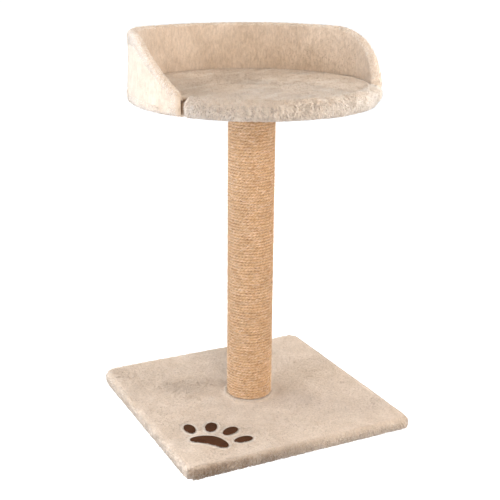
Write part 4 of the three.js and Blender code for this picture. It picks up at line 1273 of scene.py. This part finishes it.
def seat_wadding():
    """The wadding under the seat's plush: a soft disc, 6 mm thick, with an edge that rounds over the
    board."""
    rings, around = 45, 120
    a = np.linspace(0, TURN, around, endpoint=False)
    bottom, thick = board_high[2] + 0.3, 6.2
    radius = BOARD_RADIUS * np.sin(np.linspace(0, 1, rings + 1)[1:] * math.pi / 2)[:, None]
    rise = thick * np.sqrt(np.clip(1 - (radius / (BOARD_RADIUS + 0.5)) ** 10, 0, 1))
    ring = on_circle(radius, a, bottom + rise, SEAT_Y)
    ring[..., 2] += 0.5 * field(ring, 14.0, 91, 3) * smooth_step(BOARD_RADIUS, BOARD_RADIUS - 12, radius)
    points = np.concatenate([[[0, SEAT_Y, bottom + thick]], ring.reshape(-1, 3), raised(ring[-1], bottom)])
    j = np.arange(around)
    fan = coords(0, 1 + j, 1 + (j + 1) % around)
    quads = grid_faces(rings + 1, around, 1, wrap=True)[:, ::-1]
    under = (1 + rings * around + j)[None, ::-1]
    piece = new_piece("seat_wadding", points, [fan, quads, under], WADDING, "foam", ["seat_padding"])


def wall_wadding():
    """The wadding inside the wall's sleeve: a soft pad on the panel's inner face that rolls over its top
    edge."""
    degrees = np.linspace(-WALL_HALF_ANGLE + 1.2, WALL_HALF_ANGLE - 1.2, 220)
    top = wall_top(degrees) - 3.4
    inner, outer, back = WALL_INNER + 3.6, BOARD_RADIUS + 2.3, WALL_OUTER - 2.6
    low = SEAT_EDGE_TOP + 1.2
    reach = (back - inner) / 2
    section = [(inner, low + (top - 6 - low) * k / 13) for k in range(14)]
    section += [(inner + reach - reach * math.cos(a), top - 6 + 6 * math.sin(a)) for a in half_turn(9)]
    section += [(back, top - 9), (outer + 0.2, top - 9)]
    section += [(outer, top - 9 + (low - top + 9) * k / 9) for k in range(1, 10)]
    radius, height = carried(section, top)
    grid = seat_point(radius, degrees, height)
    grid = grid + 0.25 * field(grid, 12.0, 95, 2)[..., None] * unit(grid - np.array([0, SEAT_Y, 560.0]))
    faces = [f[:, ::-1] for f in section_faces(*grid.shape[:2])]
    piece = new_piece("wall_wadding", grid, faces, WADDING, "foam", ["wall_padding"])


seat_wadding()
wall_wadding()


def liner_cloth():
    """The cloth under the seat: a thin ring with shallow random puckers, cut out round the post."""
    liner_low, liner_high = box_mm("seat_liner")
    rings, around = 40, 180
    outer, hole = liner_high[0], POST_RADIUS + 1.0
    share = np.linspace(0, 1, rings)[:, None]
    a = np.linspace(0, TURN, around, endpoint=False)
    flat = on_circle(hole, a) * (1 - share[..., None]) + on_circle(outer, a, y=SEAT_Y) * share[..., None]
    flat = flat + UP * (liner_low[2] + 0.2)
    pucker = 0.5 * field(flat, (22, 22, 22), 97, 2) * np.sin(share * math.pi)
    pucker = pucker + 0.25 * np.sin(36 * a) * share**8
    lower = flat + UP * np.clip(pucker, -0.6, 0.25)[..., None]
    points = np.concatenate([lower, lower[::-1] + UP * 0.35])
    faces = [loop_faces(2 * rings, around)[:, ::-1]]
    piece = new_piece("seat_liner_cloth", points, faces, CLOTH, "liner_cloth", ["seat_liner"])


liner_cloth()


def staples(name, places, turns, low):
    """Wire staples driven from below: a flat-bottomed bridge 10 mm long with its two legs turned up, as
    one closed bar of square section that follows its own bent path."""
    path = np.array([[-5, 0, 2.0], [-5, 0, 0.5], [-4.6, 0, 0], [4.6, 0, 0], [5, 0, 0.5], [5, 0, 2.0]])
    side = np.array([0, 1.0, 0])
    up = np.cross(unit(np.gradient(path, axis=0)), side)
    half = 0.35
    ring = [path + half * (a * side * 1.5 + b * up) for a, b in ((1, 1), (-1, 1), (-1, -1), (1, -1))]
    local = np.stack(ring, 1).reshape(-1, 3)
    last = len(local) - 4
    ends = [[3, 2, 1, 0], [last, last + 1, last + 2, last + 3]]
    c, s = np.cos(turns)[:, None], np.sin(turns)[:, None]
    x = places[:, :1] + local[:, 0] * c - local[:, 1] * s
    y = places[:, 1:] + local[:, 0] * s + local[:, 1] * c
    start = (np.arange(len(places)) * len(local))[:, None, None]
    faces = [(start + np.concatenate([grid_faces(len(path), 4, wrap=True), ends])).reshape(-1, 4)]
    new_piece(name, coords(x, y, low + local[:, 2]), faces, STEEL, "steel", smooth=False)


def base_staples():
    rng = np.random.default_rng(101)
    places, turns = [], []
    for k in range(4):
        a = k * math.pi / 2
        for s in np.linspace(-135, 135, 10):
            x, y = s + rng.normal(0, 3), -(BASE_HALF - HEM_WIDTH + 7 + rng.normal(0, 1.2))
            places.append((x * math.cos(a) - y * math.sin(a), x * math.sin(a) + y * math.cos(a)))
            turns.append(a + rng.normal(0, 0.25))
    staples("base_staples", np.array(places), np.array(turns), 0.45)


def liner_staples():
    rng = np.random.default_rng(103)
    count = 26
    a = TURN * np.arange(count) / count + rng.normal(0, 0.02, count)
    places = on_circle(HEM_INNER + 8 + rng.normal(0, 1.0, count), a, y=SEAT_Y)[:, :2]
    staples("liner_staples", places, a + math.pi / 2 + rng.normal(0, 0.2, count), HEM_BOTTOM - 1.3)


base_staples()
liner_staples()


# ---- Floor, light and camera ---------------------------------------------------------------

SEEN_WHITE = 1.05  # how bright the camera sees the floor and the surround
FLOOR_GLOW = 0.02
AMBIENT = (0.04, (1, 0.985, 0.965))
# Name, place, what it points at, side in metres, watts and colour.
LIGHTS = [
    ("left", (-1.9, -0.2, 0.5), (0, 0, 0.33), 0.9, 33, (0.75, 0.84, 1.0)),
    ("left_back", (-1.5, 1.3, 0.9), (0, 0, 0.33), 1.2, 28, (0.96, 0.985, 0.98)),
    ("front", (-0.3, -1.9, 0.9), (0, 0, 0.33), 1.2, 29, (1, 0.97, 0.95)),
    ("right", (1.0, -0.8, 0.52), (0, 0, 0.68), 0.6, 13, (0.97, 0.97, 1.0)),
    ("overhead", (0.1, 0.2, 2.4), (0, 0, 0.33), 1.8, 30, (1, 0.93, 0.86)),
]


def white_floor():
    """A wide round floor of one face. The camera sees it plain white, and the object gets its soft light."""
    ring = on_circle(9000, np.linspace(0, TURN, 128, endpoint=False), -0.3)
    finish = Finish("white floor", 0.9, specular_ior_level=0.0)
    finish.shader.inputs["Base Color"].default_value = (0.5, 0.5, 0.5, 1)
    finish.shader.inputs["Emission Color"].default_value = (1, 1, 1, 1)
    seen = finish.node("LightPath").outputs["Is Camera Ray"]
    strength = finish.span(seen, 0.0, 1.0, FLOOR_GLOW, SEEN_WHITE)
    finish.feed(finish.shader.inputs["Emission Strength"], strength)
    new_piece("floor", ring, [np.arange(len(ring))[None]], finish.material)


def soft_light(name, place, aim, size, watts, colour):
    lamp = bpy.data.lights.new(name, "AREA")
    lamp.shape, lamp.size, lamp.energy, lamp.color = "SQUARE", size, watts, colour
    light = bpy.data.objects.new(name, lamp)
    bpy.context.scene.collection.objects.link(light)
    light.location = place
    light.rotation_euler = (Vector(aim) - Vector(place)).to_track_quat("-Z", "Y").to_euler()


def surroundings():
    """A dim even surround for the object, which the camera sees as plain white."""
    world = bpy.data.worlds.new("studio")
    bpy.context.scene.world = world
    world.use_nodes = True
    tree = world.node_tree
    tree.nodes.clear()
    path = tree.nodes.new("ShaderNodeLightPath")
    mix = tree.nodes.new("ShaderNodeMixShader")
    out = tree.nodes.new("ShaderNodeOutputWorld")
    tree.links.new(path.outputs["Is Camera Ray"], mix.inputs[0])
    for i, (strength, colour) in enumerate([AMBIENT, (SEEN_WHITE, (1, 1, 1))]):
        glow = tree.nodes.new("ShaderNodeBackground")
        glow.inputs["Color"].default_value = (*colour, 1)
        glow.inputs["Strength"].default_value = strength
        tree.links.new(glow.outputs[0], mix.inputs[1 + i])
    tree.links.new(mix.outputs[0], out.inputs["Surface"])


def camera():
    """The photograph's viewpoint: in front, to the left and above, with a slight roll. The focal length
    was fitted in pixels of the photograph, which is 500 pixels wide."""
    yaw, pitch, roll = 0.4651, 0.3075, 0.01018
    forward = np.array([math.sin(yaw) * math.cos(pitch), math.cos(yaw) * math.cos(pitch), -math.sin(pitch)])
    right = np.array([math.cos(yaw), -math.sin(yaw), 0.0])
    up = np.cross(right, forward)
    across = math.cos(roll) * right + math.sin(roll) * up
    above = -math.sin(roll) * right + math.cos(roll) * up
    data = bpy.data.cameras.new("camera")
    data.sensor_width = 36
    data.lens = 985.87 / 500 * data.sensor_width
    data.clip_start, data.clip_end = 0.05, 60
    made = bpy.data.objects.new("camera", data)
    bpy.context.scene.collection.objects.link(made)
    turn = Matrix(np.stack([across, above, -forward], 1).tolist()).to_4x4()
    turn.translation = (-0.6773, -1.3483, 0.7478)
    made.matrix_world = turn
    bpy.context.scene.camera = made


white_floor()
surroundings()
for light in LIGHTS:
    soft_light(*light)
camera()
bpy.context.scene.view_settings.view_transform = "Standard"
bpy.context.scene.view_settings.look = "None"
